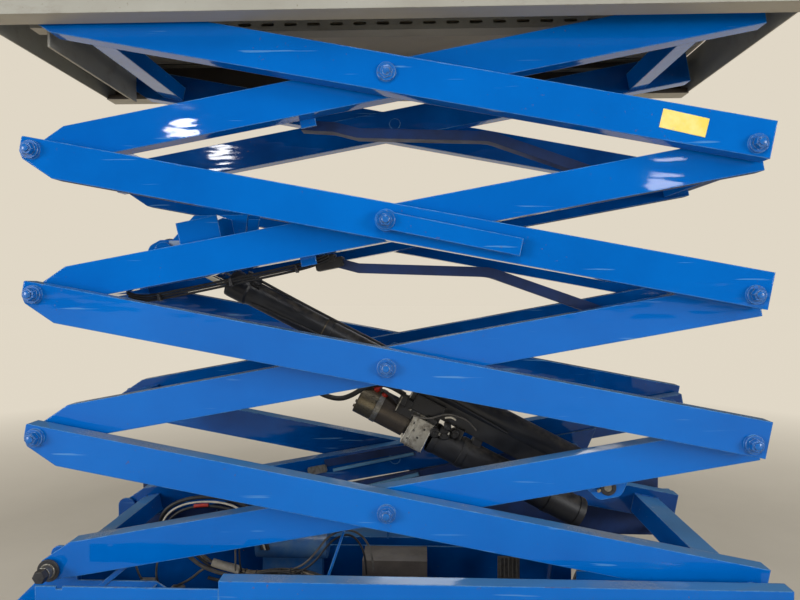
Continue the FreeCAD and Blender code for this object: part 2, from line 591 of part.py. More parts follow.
def build_chassis():
    rear, front = "chassis_rear", "chassis_front"
    y_out = "chassis_width/2"
    wheel_room = "tyre_radius+45"
    # a pan between the webs with upturned ends
    seam = f"front_axle_x-({wheel_room})"
    node("floor_pan", group([
        block((f"{seam}+weld_gap", f"{front}-sheet-weld_gap"), ("-front_web_face", "front_web_face"),
              ("floor_z", "floor_z+sheet")),
        block((f"{rear}+sheet+weld_gap", seam), ("-web_face", "web_face"),
              ("floor_z", "floor_z+sheet")),
    ]))

    low = "floor_z+sheet+weld_gap"
    rear_web = plate("XZ", [
        (f"{rear}+sheet+weld_gap", low), (f"front_axle_x-({wheel_room})", low),
        (f"front_axle_x-({wheel_room})", "pivot_z-120"), ("rear_axle_x+325", "pivot_z-120"),
        ("rear_axle_x+225", "pivot_z-60"), ("pivot_x+lug_width/2+20", "pivot_z-60"),
        ("pivot_x+lug_width/2", "pivot_z+10"), ("pivot_x+lug_width/2", "pivot_z+lug_height/2"),
        ("pivot_x-lug_width/2", "pivot_z+lug_height/2"), ("pivot_x-lug_width/2", "pivot_z-20"),
        (f"{rear}+sheet+weld_gap", "end_top"),
    ], ("-web_face-sheet", "-web_face"), [(7, "28"), (8, "28")])
    pin = rod("pin_radius", "y", ("-outer_face+arm_gap/2-sheet-head_length", "-web_face-sheet/2"),
              ("pivot_x", "pivot_z"))
    head = rod("head_radius", "y", ("-inner_face-arm_width-weld_gap-head_length",
                                    "-inner_face-arm_width-weld_gap"), ("pivot_x", "pivot_z"))
    front_web = cut(
        block((f"front_axle_x-({wheel_room})+weld_gap", f"{front}-sheet-weld_gap"),
              ("-front_web_face", "-front_web_face+sheet"), (low, "end_top-sheet")),
        [block(("front_axle_x-35-weld_gap", "front_axle_x+35+weld_gap"),
               ("-front_web_face-1", "-front_web_face+sheet+1"),
               ("tyre_radius+62-weld_gap", "tyre_radius+112+weld_gap")),
         block(("front_axle_x-steer_arm-16", "front_axle_x-steer_arm+44"),
               ("-front_web_face-1", "-front_web_face+sheet+1"),
               ("tyre_radius-18", "tyre_radius+34"))])
    axle_hole = rod("axle_radius+weld_gap", "y", ("-web_face-sheet-1", "-web_face+1"),
                    ("rear_axle_x", "tyre_radius"))
    node("chassis_webs",
         both_sides(group([cut(fuse([rear_web, pin, head]), [axle_hole]), front_web])))

    # channels for the sliding shoes, open towards the arms
    face, top = f"-({y_out})", "chassis_top"
    shell = block(("rail_rear", "rail_front"), (face, f"{face}+rail_width"),
                  ("pivot_z-rail_above", top))
    slot = block(("rail_rear-1", "rail_front+1"), (f"{face}+sheet", f"{face}+rail_width+1"),
                 ("pivot_z-rail_above+sheet", f"{top}-sheet"))
    channel = cut(shell, [slot])
    node("slide_channels", both_sides(channel))

    # thin side plates behind the channels
    thin = block(("thin_rail_rear", "rail_rear-weld_gap"), (face, f"{face}+sheet"),
                 ("pivot_z-rail_above", "pivot_z+thin_rail_above"))
    slit = block(("thin_rail_rear+60", "thin_rail_rear+78"), (f"{face}-1", f"{face}+sheet+1"),
                 ("pivot_z+thin_rail_above-8", "pivot_z+thin_rail_above+1"))
    node("rear_side_plates", both_sides(cut(thin, [slit])))

    # end plates and the outriggers that carry the side rails
    ends = []
    # plate, boss inside it, bore
    for span, boss, bore in (
            ((rear, f"{rear}+sheet"), (f"{rear}+1", f"{rear}+sheet+tie_depth"),
             (f"{rear}-1", f"{rear}+sheet+tie_depth+1")),
            ((f"{front}-sheet", front), (f"{front}-sheet-tie_depth", f"{front}-1"),
             (f"{front}-sheet-tie_depth-1", f"{front}+1"))):
        eyes = [("-tie_y", "tie_z"), ("tie_y", "tie_z")]
        sheet = block(span, (f"-{y_out}", y_out), ("floor_z", "end_top"))
        ends.append(cut(fuse([sheet] + [rod("tie_boss", "x", boss, eye) for eye in eyes]),
                        [rod("tie_bore", "x", bore, eye) for eye in eyes]))
    node("end_plates", group(ends))

    riggers = []
    for x in ("rear_axle_x+wheel_gap", "-rigger_pitch", "0", "rigger_pitch",
              "front_axle_x+bow_gap"):
        inside = "front_web_face" if x.startswith("front") else "web_face+sheet"
        high = "pivot_z-rail_above-weld_gap"
        riggers.append(plate("YZ", [
            (f"-({inside})-weld_gap", "pivot_z-arm_sweep"),
            (f"-({inside})-weld_gap", "tray_high+4"),
            (f"-{y_out}", "tray_high+4"), (f"-{y_out}", high),
            ("-outer_face-arm_width-8", high),
            ("-outer_face-arm_width-8", "pivot_z-arm_sweep")], (x, f"{x}+sheet")))
    # an ear over each tray's hinge pin
    ear = fuse([
        block(("tray_hinge_x-hinge_boss", "tray_hinge_x+hinge_boss"),
              ("-chassis_width/2", "tray_hinge_y+hinge_boss"), ("tray_high+4", "tray_high+12")),
        block(("tray_hinge_x-hinge_boss", "tray_hinge_x-hinge_boss+sheet"),
              ("-chassis_width/2", "tray_hinge_y+hinge_boss"),
              ("tray_high+4", "pivot_z-rail_above-weld_gap"))])
    riggers.append(fuse([ear, rod("hinge_pin", "z", ("guard_hinge_z+5", "tray_high+12"),
                                  ("tray_hinge_x", "tray_hinge_y"))]))
    node("outriggers", both_sides(group(riggers)))

    # arms under the trays that carry the guards' hinges
    brackets = []
    for x in ("tray_hinge_x-bracket_width/2", "-bracket_width/2", "tray_length/2-80"):
        arm = fuse([
            block((x, f"{x}+bracket_width"), ("guard_hinge_y", "-web_face-sheet-weld_gap"),
                  ("guard_hinge_z+4", "guard_hinge_z+14")),
            rod("hinge_boss", "x", (x, f"{x}+bracket_width"),
                ("guard_hinge_y", "guard_hinge_z")),
            rod("hinge_pin", "x", (x, f"{x}+bracket_width+24"),
                ("guard_hinge_y", "guard_hinge_z"))])
        if x.startswith("tray_hinge_x"):
            arm = cut(arm, [rod("hinge_pin+pin_play", "z", ("guard_hinge_z+3", "guard_hinge_z+15"),
                                ("tray_hinge_x", "tray_hinge_y"))])
        brackets.append(arm)
    node("guard_brackets", both_sides(group(brackets)))


build_chassis()


def build_ladder():
    back = "chassis_rear-weld_gap"
    stile = block((f"{back}-30", back), ("-stile_half", "-stile_half+8"),
                  ("floor_z+20", "end_top"))
    steps = [block((f"{back}-30", back), ("-stile_half+8+weld_gap", "stile_half-8-weld_gap"),
                   (f"floor_z+40+{i}*step_pitch", f"floor_z+40+{i}*step_pitch+22"))
             for i in range(2)]
    node("ladder", group([stile, mirrored(stile)] + steps))


build_ladder()


def build_ground_control():
    """The ground controls' box on the rear end plate, beside the ladder."""
    back = "chassis_rear-weld_gap"
    outer, high = "side_y-ground_in", "end_top-ground_in/2"
    inner, low = f"{outer}-ground_width", f"{high}-ground_height"
    case = plate("YZ", [(inner, low), (outer, low), (outer, high), (inner, high)],
                 (f"{back}-ground_depth", back), [(corner, "10") for corner in range(4)])
    middle = f"({low})+ground_height/2"
    controls = [rod(radius, "x", (f"{back}-ground_depth-10", f"{back}-ground_depth+1"),
                    (f"({inner})+{along}", middle))
                for radius, along in (("knob_radius", "34"), ("stick_radius", "88"),
                                      ("stick_radius", "128"))]
    node("ground_control", fuse([case] + controls))


build_ground_control()


# Running gear.

def tyre():
    half = "tyre_width/2"
    return turned([
        ("rim_radius", f"-{half}"), ("tyre_radius-tyre_round", f"-{half}"),
        ("tyre_radius", f"-{half}+tyre_round"), ("tyre_radius", f"{half}-tyre_round"),
        ("tyre_radius-tyre_round", half), ("rim_radius", half)])


def rim():
    half = "tyre_width/2"
    seat = "rim_radius-weld_gap"
    return turned([
        (seat, f"-{half}+6"), (seat, f"{half}-6"), (f"{seat}-10", f"{half}-6"),
        (f"{seat}-22", "14"), ("hub_radius", "14"), ("hub_radius-8", f"{half}-22"),
        ("kingpin_radius", f"{half}-22"), ("kingpin_radius", "-4"),
        (f"{seat}-22", "-4"), (f"{seat}-10", f"-{half}+6")])


WHEELS = [
    # name, X, side of the machine
    ("front_right", "front_axle_x", "-"), ("front_left", "front_axle_x", ""),
    ("rear_right", "rear_axle_x", "-"), ("rear_left", "rear_axle_x", ""),
]


def placed(part, at, spin=0):
    part.Placement = FreeCAD.Placement(
        FreeCAD.Vector(), FreeCAD.Rotation(FreeCAD.Vector(0, 0, 1), spin))
    for axis, formula in zip("xyz", at):
        part.setExpression(f"Placement.Base.{axis}", named(formula))
    return part


def build_wheels():
    for name, x, side in WHEELS:
        at = (x, f"{side}wheel_y", "tyre_radius")
        node(f"tyre_{name}", placed(tyre(), at))
        node(f"rim_{name}", placed(rim(), at, 0 if side else 180))


build_wheels()


def build_axles():
    inner_half = "chassis_width/2-tyre_width-14"
    stub = "wheel_y+10"
    tube = fuse([
        rod("axle_radius", "y", (f"-({inner_half})", inner_half), ("rear_axle_x", "tyre_radius")),
        rod("kingpin_radius-0.1", "y", (f"-({stub})", stub), ("rear_axle_x", "tyre_radius"))])
    node("rear_axle", tube)

    beam_low, beam_high = "tyre_radius+62", "tyre_radius+112"
    beam = fuse([
        block(("front_axle_x-35", "front_axle_x+35"), ("-kingpin_y+30", "kingpin_y-30"),
              (beam_low, beam_high)),
        block(("front_axle_x-18", "front_axle_x+18"), ("-kingpin_y", "kingpin_y"),
              (beam_low, beam_high)),
        rod("kingpin_boss", "z", (beam_low, beam_high), ("front_axle_x", "-kingpin_y")),
        rod("kingpin_boss", "z", (beam_low, beam_high), ("front_axle_x", "kingpin_y"))])
    node("steer_beam", beam)

    yoke = fuse([
        rod("kingpin_boss", "z", ("tyre_radius-20", f"{beam_low}-weld_gap"),
            ("front_axle_x", "-kingpin_y")),
        rod("motor_hub", "y", ("-(wheel_y-tyre_width/2-8)", "-kingpin_y+80"),
            ("front_axle_x", "tyre_radius")),
        rod("kingpin_radius-0.1", "y", ("-wheel_y-10", "-kingpin_y"),
            ("front_axle_x", "tyre_radius")),
        block(("front_axle_x-steer_arm", "front_axle_x"), ("-kingpin_y-12", "-kingpin_y+12"),
              ("tyre_radius+20", "tyre_radius+34"))])
    node("yoke_right", yoke)
    node("yoke_left", mirrored(yoke))
    link = rod("link_radius", "y", ("-kingpin_y", "kingpin_y"),
               ("front_axle_x-steer_arm+14", "tyre_radius+20-link_radius-weld_gap"))
    node("tie_rod", link)


build_axles()


def build_trays():
    """Swing-out module trays between the wheels, and the pothole guards below them."""
    inside, outside = "-chassis_width/2+tray_depth", "-chassis_width/2+4"
    half = "tray_length/2"
    bin = plate("YZ", [
        (outside, "tray_low"), (inside, "tray_low"), (inside, "tray_high"),
        (f"{outside}+28", "tray_high"), (outside, "tray_high-40")],
        (f"-{half}", half))
    spot = ("tray_hinge_x", "tray_hinge_y")
    knuckles = []
    for low in ("tray_low+30", "tray_high-90"):
        span = (low, f"{low}+40")
        knuckles.append(fuse([
            rod("hinge_boss", "z", span, spot),
            block(("tray_hinge_x", f"-{half}+1"), (outside, f"{outside}+6"), span)]))
    bore = rod("hinge_pin+pin_play", "z", ("tray_low-1", "tray_high+1"), spot)
    tray = cut(fuse([bin] + knuckles), [bore])
    node("tray_right", tray)
    node("tray_left", mirrored(tray))
    ends = ("-guard_length/2", "guard_length/2")
    face = "guard_hinge_y-sheet/2"
    flap = [
        block(ends, (face, f"{face}+sheet"), ("guard_low", "guard_low+guard_height")),
        block(ends, (face, f"{face}+14"), ("guard_low", "guard_low+sheet"))]
    pin_spot = ("guard_hinge_y", "guard_hinge_z")
    bores = []
    for x in ("tray_hinge_x+bracket_width/2", "bracket_width/2", "tray_length/2-80+bracket_width"):
        span = (f"{x}+hinge_play", f"{x}+22")
        flap.append(rod("hinge_boss", "x", span, pin_spot))
        flap.append(block(span, (face, f"{face}+sheet"),
                          ("guard_low+guard_height-1", "guard_hinge_z")))
        bores.append(rod("hinge_pin+pin_play", "x", (f"{x}-1", f"{x}+26"), pin_spot))
    guard = cut(fuse(flap), bores)
    node("pothole_guard_right", guard)
    node("pothole_guard_left", mirrored(guard))


build_trays()


# Platform.

def build_platform():
    low, high = "top_z-edge_drop", "deck_z"
    rear, front = "platform_rear", "platform_front"
    face = "-side_y"
    end = f"{front}-side_sheet-weld_gap"
    sheet = fuse([
        block((rear, front), (face, f"{face}+side_sheet"), (low, f"{high}-weld_gap-3")),
        block((rear, front), (face, f"{face}+lip_width"), (low, f"{low}+side_sheet")),
        block((f"{rear}+side_sheet+weld_gap", end),
              (f"{face}+lip_width-side_sheet", f"{face}+lip_width"),
              (low, f"{low}+lip_rise")),
        block((rear, front), (face, f"{face}+40"), (f"{high}-weld_gap-3-side_sheet",
                                                   f"{high}-weld_gap-3")),
        block(("0", end), (face, f"{face}+side_sheet+roller_width+4"),
              (low, "top_z-top_roller-slide_play")),
        block(("0", end), (face, f"{face}+side_sheet+roller_width+4"),
              ("top_z+top_roller+slide_play", "top_z+top_roller+slide_play+6")),
    ])
    node("platform_sides", both_sides(sheet))

    ends = [
        block((f"{front}-side_sheet", front), ("-side_y+side_sheet+weld_gap",
              "side_y-side_sheet-weld_gap"), (f"{low}+side_sheet+weld_gap", f"{high}-8")),
        block((rear, f"{rear}+side_sheet"), ("-side_y+side_sheet+weld_gap",
              "side_y-side_sheet-weld_gap"), (f"{low}+side_sheet+weld_gap", f"{high}-8")),
    ]
    node("platform_ends", group(ends))

    deck = block((f"{rear}+1", f"{front}-1"), ("-side_y+1", "side_y-1"), (f"{high}-3", high))
    node("deck", deck)

    # carrier of the two upper fixed pins
    carrier = fuse([
        block(("pivot_x+17", "pivot_x+25"), ("-outer_face+7", "outer_face-7"),
              ("top_z-carrier_drop", f"{high}-3-weld_gap")),
        block(("pivot_x-40", "pivot_x+24"), ("-outer_face+13", "-inner_face-1"),
              ("top_z-44", f"{high}-3-weld_gap")),
        block(("pivot_x-40", "pivot_x+24"), ("inner_face+1", "outer_face-13"),
              ("top_z-44", f"{high}-3-weld_gap")),
    ])
    bores = [rod("pin_radius+pin_play", "y", ("-outer_face-5", "outer_face+5"),
                 ("pivot_x", "top_z"))]
    node("pin_carrier", cut(carrier, bores))

    # slotted rib under the middle of the deck
    top = f"{high}-3-weld_gap"
    along = ("pivot_x+25+weld_gap", f"{front}-side_sheet-weld_gap")
    rib = cut(block(along, ("-rib_width/2", "rib_width/2"), (f"{top}-rib_depth", top)),
              [block((f"{along[0]}-1", f"{along[1]}+1"),
                     ("-rib_width/2+rib_sheet", "rib_width/2-rib_sheet"),
                     (f"{top}-rib_depth+rib_sheet", f"{top}+1"))])
    slots = []
    middle = f"{top}-rib_depth/2"
    for i in range(-12, 14):
        left, right = (f"{i}*slot_pitch{sign}(slot_length-slot_width)/2" for sign in "-+")
        slots += [block((left, right), ("-rib_width/2-1", "rib_width/2+1"),
                        (f"{middle}-slot_width/2", f"{middle}+slot_width/2"))]
        slots += [rod("slot_width/2", "y", ("-rib_width/2-1", "rib_width/2+1"), (x, middle))
                  for x in (left, right)]
    node("deck_rib", cut(rib, slots))


build_platform()


def rail_frame(y, posts, top):
    """Posts with a top rail over them and mid rails between them, along X."""
    low, high = f"({y})-tube/2", f"({y})+tube/2"
    solids = []
    for x in posts:
        solids.append(block((f"({x})-tube/2", f"({x})+tube/2"), (low, high),
                            ("deck_z+weld_gap", f"{top}-tube-weld_gap")))
    solids.append(block((f"({posts[0]})-tube/2", f"({posts[-1]})+tube/2"), (low, high),
                        (f"{top}-tube", top)))
    for left, right in zip(posts, posts[1:]):
        solids.append(block((f"({left})+tube/2+weld_gap", f"({right})-tube/2-weld_gap"),
                            (low, high), (f"deck_z+rail_height/2-tube/2",
                                          f"deck_z+rail_height/2+tube/2")))
        solids.append(block((f"({left})+tube/2+weld_gap", f"({right})-tube/2-weld_gap"),
                            (f"({y})-toe_sheet/2", f"({y})+toe_sheet/2"),
                            ("deck_z+weld_gap", "deck_z+toe_height")))
    return solids


def build_rails():
    front = "platform_front-tube/2-1"
    rear = "platform_rear+tube/2+1"
    y = "-side_y+tube/2+1"
    side = rail_frame(y, [rear, "platform_rear+platform_third",
                          "platform_rear+2*platform_third", front],
                      "deck_z+rail_height")
    node("side_rails", both_sides(group(side)))

    # the rear end: fixed frames beside the gate
    x_low, x_high = "platform_rear+1", "platform_rear+1+tube"
    gap = "side_y-tube-1-weld_gap"
    frame = []
    frame.append(block((x_low, x_high), ("gate_half", "gate_half+tube"),
                       ("deck_z+weld_gap", "deck_z+rail_height-tube-weld_gap")))
    frame.append(block((x_low, x_high), ("gate_half", gap),
                       ("deck_z+rail_height-tube", "deck_z+rail_height")))
    frame.append(block((x_low, x_high), ("gate_half+tube+weld_gap", gap),
                       ("deck_z+rail_height/2-tube/2", "deck_z+rail_height/2+tube/2")))
    hinge = ("gate_hinge_x", "gate_hinge_y")
    leaf = ("platform_rear+tube", "gate_hinge_x")
    fixed, moving, bores = [], [], []
    for height in ("260", "780"):
        low, middle, high = (f"deck_z+{height}+({rise})" for rise in ("0", "30", "60"))
        fixed += [rod("gate_boss", "z", (low, f"{middle}-hinge_play/2"), hinge),
                  rod("gate_pin", "z", (low, high), hinge),
                  block(leaf, ("-gate_half-24", "-gate_half+2"), (low, f"{middle}-hinge_play/2"))]
        moving += [rod("gate_boss", "z", (f"{middle}+hinge_play/2", high), hinge),
                   block(leaf, ("gate_hinge_y+1", "gate_hinge_y+28"),
                         (f"{middle}+hinge_play/2", high))]
        bores.append(rod("gate_pin+pin_play", "z", (f"{middle}-5", f"{high}+5"), hinge))
    fixed.append(mirrored(frame[0]))
    node("rear_rails", group([group(frame), fuse(fixed)] + [mirrored(bar) for bar in frame[1:]]))

    inner = "gate_half-6"
    stile = block((x_low, x_high), (f"-({inner})", f"-({inner})+tube"),
                  ("deck_z+30", "deck_z+rail_height-tube-weld_gap"))
    gate = [
        cut(fuse([stile] + moving), bores),
        block((x_low, x_high), (f"{inner}-tube", inner),
              ("deck_z+30", "deck_z+rail_height-tube-weld_gap")),
        block((x_low, x_high), (f"-({inner})", inner),
              ("deck_z+rail_height-tube", "deck_z+rail_height")),
        block((x_low, x_high), (f"-({inner})+tube+weld_gap", f"{inner}-tube-weld_gap"),
              ("deck_z+rail_height/2-tube/2", "deck_z+rail_height/2+tube/2")),
        block(("platform_rear+10", "platform_rear+13"),
              (f"-({inner})+tube+weld_gap", f"{inner}-tube-weld_gap"),
              ("deck_z+30", "deck_z+toe_height")),
    ]
    node("gate", group(gate))


build_rails()


def build_extension():
    front = "platform_front-1"
    half = "side_y-ext_inset"
    sheet = block((f"{front}-ext_length", front), (f"-({half})", half),
                  ("deck_z+6", "deck_z+12"))
    glide = block((f"{front}-ext_length", f"{front}-40"), (f"-({half})", f"-({half})+30"),
                  ("deck_z+slide_play", "deck_z+7"))
    node("extension_deck", fuse([sheet, glide, mirrored(glide)]))
    y = f"-({half})+tube/2"
    base = "deck_z+12+weld_gap"
    top = "deck_z+rail_height-60"
    solids = []
    for x in (f"{front}-ext_length+tube/2+20", f"{front}-tube/2"):
        solids.append(block((f"{x}-tube/2", f"{x}+tube/2"), (f"{y}-tube/2", f"{y}+tube/2"),
                            (base, f"{top}-tube-weld_gap")))
    solids.append(block((f"{front}-ext_length+20", front), (f"{y}-tube/2", f"{y}+tube/2"),
                        (f"{top}-tube", top)))
    solids.append(block((f"{front}-ext_length+20+tube+weld_gap", f"{front}-tube-weld_gap"),
                        (f"{y}-tube/2", f"{y}+tube/2"),
                        ("deck_z+rail_height/2-tube/2-40", "deck_z+rail_height/2+tube/2-40")))
    cross_y = f"{half}-tube-weld_gap"
    front_bars = [
        block((f"{front}-tube", front), (f"-({cross_y})", cross_y), (f"{top}-tube", top)),
        block((f"{front}-tube", front), (f"-({cross_y})", cross_y),
              ("deck_z+rail_height/2-tube/2-40", "deck_z+rail_height/2+tube/2-40")),
        block((f"{front}-tube/2", f"{front}-tube/2+toe_sheet"), (f"-({cross_y})", cross_y),
              (base, "deck_z+toe_height")),
    ]
    node("extension_rails", group([both_sides(group(solids))] + front_bars))
    back = f"{front}-tube-weld_gap"
    low, high = f"{top}-18-box_height", f"{top}-18"
    box = plate("XZ", [(f"{back}-box_depth", low), (back, low), (back, high),
                       (f"{back}-box_depth+box_slope", high), (f"{back}-box_depth", f"{high}-box_slope")],
                ("box_in", "box_in+box_width"), [(3, "12"), (4, "12")])
    stick = (f"{back}-box_depth/3", "box_in+box_width/2")
    lever = rod("stick_radius", "z", (f"{high}-1", f"{high}+stick_height"), stick)
    knob = rod("knob_radius", "z", (f"{high}+stick_height-30", f"{high}+stick_height"), stick)
    stop = rod("knob_radius", "z", (f"{high}-1", f"{high}+16"),
               (f"{back}-box_depth/3", "box_in+box_width-30"))
    node("control_station", fuse([box, lever, knob, stop]))


build_extension()


def build_fittings():
    """Pieces inside the open chassis that show past the arms."""
    inside = "web_face-spare_in"
    back, front = "spare_tank_x-spare_length/2", "spare_tank_x+spare_length/2"
    top = "pivot_z-spare_drop"
    tank = rod("spare_radius", "x", (back, front), (inside, top))
    foot = block((f"{back}+20", f"{front}-20"), (f"{inside}-20", f"{inside}+20"),
                 ("floor_z+sheet+weld_gap", f"{top}-spare_radius/2"))
    node("spare_tank", fuse([tank, foot]))
    box = block(("charger_x-charger_length/2", "charger_x+charger_length/2"),
                ("web_face-spare_in", "web_face-25"),
                ("floor_z+sheet+weld_gap", "pivot_z-charger_drop"))
    node("charger_box", box)


build_fittings()


def check_and_export():
    doc.recompute()
    for thing in doc.Objects:
        if {"Invalid", "Error"} & set(thing.State):
            raise RuntimeError(f"{thing.Label} failed: {thing.State}")
    os.makedirs("parts", exist_ok=True)
    for part in nodes:
        shape = part.Shape
        if shape.isNull() or not shape.isValid() or not shape.Solids:
            raise RuntimeError(f"{part.Label} has no valid solid")
        shape.exportStep(f"parts/{part.Label}.step")
        print(part.Label, len(shape.Solids), round(shape.Volume / 1e6, 2))


check_and_export()
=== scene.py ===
import json
import math
from functools import partial
import bpy
import bmesh
from mathutils import Matrix, Vector

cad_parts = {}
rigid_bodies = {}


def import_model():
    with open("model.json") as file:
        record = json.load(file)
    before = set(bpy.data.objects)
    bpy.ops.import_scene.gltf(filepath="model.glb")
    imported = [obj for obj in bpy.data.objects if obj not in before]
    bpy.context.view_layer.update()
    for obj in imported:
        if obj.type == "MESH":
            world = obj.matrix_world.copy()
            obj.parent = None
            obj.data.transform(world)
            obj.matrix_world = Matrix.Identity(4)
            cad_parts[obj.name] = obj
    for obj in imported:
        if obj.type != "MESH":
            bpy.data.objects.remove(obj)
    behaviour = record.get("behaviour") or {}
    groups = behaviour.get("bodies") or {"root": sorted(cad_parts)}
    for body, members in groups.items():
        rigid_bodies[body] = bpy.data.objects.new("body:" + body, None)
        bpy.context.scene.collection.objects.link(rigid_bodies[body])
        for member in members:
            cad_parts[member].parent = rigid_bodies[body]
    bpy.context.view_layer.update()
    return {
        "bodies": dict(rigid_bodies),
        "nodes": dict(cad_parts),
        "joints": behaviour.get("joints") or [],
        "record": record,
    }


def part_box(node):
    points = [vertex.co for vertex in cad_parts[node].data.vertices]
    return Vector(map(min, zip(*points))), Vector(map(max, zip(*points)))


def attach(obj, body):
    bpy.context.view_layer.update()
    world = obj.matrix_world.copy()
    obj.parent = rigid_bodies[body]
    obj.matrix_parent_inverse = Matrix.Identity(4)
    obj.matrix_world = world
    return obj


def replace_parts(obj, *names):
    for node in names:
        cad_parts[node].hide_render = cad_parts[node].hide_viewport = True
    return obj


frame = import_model()
joints = {joint["name"]: joint for joint in frame["joints"]}

# Where things are: the pins' heights and the arms' directions come from the frame's joints.
leftPin = Vector(joints["lift"]["pos_m"])
stageRise = joints["left_1"]["pos_m"][2] - leftPin.z
stageRun = 2 * (joints["centre_1"]["pos_m"][0] - leftPin.x)
armSpan = math.hypot(stageRun, stageRise)
restAngle = math.atan2(stageRise, stageRun)
outerFace = -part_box("outer_arms_2")[0].y
innerFace = -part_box("inner_arms_2")[0].y
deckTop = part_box("deck")[1].z
seat = 0.0002  # how deep a fastener's seat is sunk into the face it sits on


def pinFrame(spot, along, across):
    # a piece's own frame: along a line from a pin, square across it, and the row's y
    return Matrix(((along.x, 0, across.x, spot.x), (0, 1, 0, spot.y),
                   (along.z, 0, across.z, spot.z), (0, 0, 0, 1)))


def armFrame(kind, stage):
    rising = kind == "inner"
    level = leftPin.z + (stage - 1 if rising else stage) * stageRise
    slope = restAngle if rising else -restAngle
    along = Vector((math.cos(slope), 0, math.sin(slope)))
    return pinFrame(Vector((leftPin.x, 0, level)), along, Vector((-along.z, 0, along.x)))


rodLine = Vector(joints["rod_slide"]["axis"])
# along the barrel from its foot pin, y, and the drop below its axis
cylinderFrame = pinFrame(Vector(joints["cylinder_swing"]["pos_m"]), rodLine,
                         Vector((-rodLine.z, 0, rodLine.x)))
rowFrame = Matrix()


# Shader maths

def operation(kind, swapped=False):
    def apply(self, other):
        first, second = (other, self) if swapped else (self, other)
        return self.finish.node("Math", {"operation": kind}, {0: first, 1: second})
    return apply


class Wire:
    # a socket whose maths is written as plain expressions
    def __init__(self, finish, socket):
        self.finish, self.socket = finish, socket

    __add__, __radd__ = operation("ADD"), operation("ADD", swapped=True)
    __sub__, __rsub__ = operation("SUBTRACT"), operation("SUBTRACT", swapped=True)
    __mul__, __rmul__ = operation("MULTIPLY"), operation("MULTIPLY", swapped=True)


class Finish:
    # a material and the few nodes that most finishes here share
    def __init__(self, name, **constants):
        self.material = bpy.data.materials.new(name)
        self.material.use_nodes = True
        tree = self.material.node_tree
        self.nodes, self.links = tree.nodes, tree.links
        self.shader = next(n for n in self.nodes if n.type == "BSDF_PRINCIPLED")
        for socket, value in constants.items():
            self.shader.inputs[socket.replace("_", " ")].default_value = value

    def node(self, kind, settings=None, values=None, output=0):
        made = self.nodes.new("ShaderNode" + kind)
        for name, value in (settings or {}).items():
            setattr(made, name, value)
        for name, value in (values or {}).items():
            if isinstance(value, Wire):
                self.links.new(value.socket, made.inputs[name])
            else:
                made.inputs[name].default_value = value
        return Wire(self, made.outputs[output])

    def noise(self, scale, detail=4, rough=0.55, stretch=(1, 1, 1)):
        spot = self.node("TexCoord", output="Object")
        place = self.node("Mapping", {}, {"Vector": spot, "Scale": stretch})
        return self.node("TexNoise", {}, {"Vector": place, "Scale": scale, "Detail": detail,
                                          "Roughness": rough})

    def between(self, value, low, high, start=0.0, end=1.0):
        # a value remapped and held within its limits
        return self.node("MapRange", {"clamp": True},
                         {"Value": value, "From Min": low, "From Max": high,
                          "To Min": start, "To Max": end})

    def cloud(self, scale, detail, rough, low, high, start=0.0, end=1.0, stretch=(1, 1, 1)):
        # noise held between two limits, which makes patches
        return self.between(self.noise(scale, detail, rough, stretch), low, high, start, end)

    def fade(self, value, start, end):
        return self.between(value, 0, 1, start, end)

    def mix(self, first, second, factor):
        colours = [c if isinstance(c, Wire) else (*linear(c), 1) for c in (first, second)]
        return self.node("Mix", {"data_type": "RGBA"},
                         {0: factor, 6: colours[0], 7: colours[1]}, output=2)

    def rounded(self, radius):
        return self.node("Bevel", {"samples": 4}, {"Radius": radius})

    def edges(self, radius, gain=5.0):
        # 1 at sharp corners, 0 on flat faces
        flat = self.node("NewGeometry", output="Normal")
        match = self.node("VectorMath", {"operation": "DOT_PRODUCT"},
                          {0: self.rounded(radius), 1: flat}, output="Value")
        return self.between((1 - match) * gain, 0.05, 0.9)

    def own(self, kind, way):
        # one axis of the piece's own coordinates, which stay so when it is moved
        return self.node("SeparateXYZ", {}, {"Vector": self.node("TexCoord", output=kind)},
                         output=way)

    def facing(self, way="Z"):
        return self.own("Normal", way)

    def upward(self, low=0.7, high=0.97):
        return self.between(self.facing(), low, high)

    def downward(self):
        return self.between(0 - self.facing(), 0.5, 0.9)

    def bump(self, height, strength, distance, under=None):
        values = {"Height": height, "Strength": strength, "Distance": distance}
        if under:
            values["Normal"] = under
        return self.node("Bump", {}, values)

    def grain(self, scale, strength, distance, radius, detail=2, rough=0.55):
        # fine relief, with the piece's edges rounded off
        return self.bump(self.noise(scale, detail, rough), strength, distance,
                         self.rounded(radius))

    def set(self, **wires):
        for socket, wire in wires.items():
            self.links.new(wire.socket, self.shader.inputs[socket.replace("_", " ")])
        return self.material


def linear(colour):
    # a colour as it shows on screen, turned into the linear values that shaders take
    return tuple((c / 255 / 12.92) if c <= 10 else ((c / 255 + 0.055) / 1.055) ** 2.4
                 for c in colour)


# the dark inner blue is painted shade for faces that look in at the middle; the paler top blue is
# a painted sheen; the pale worn blue is worn paint and partly a painted edge highlight
bluePaint = {"face": (0, 103, 194), "shade": (0, 90, 176), "worn": (112, 168, 208),
             "dust": (150, 138, 112), "faded": (84, 140, 182), "inner": (0, 46, 104),
             "rust": (96, 60, 36), "edgeRadius": 0.005}


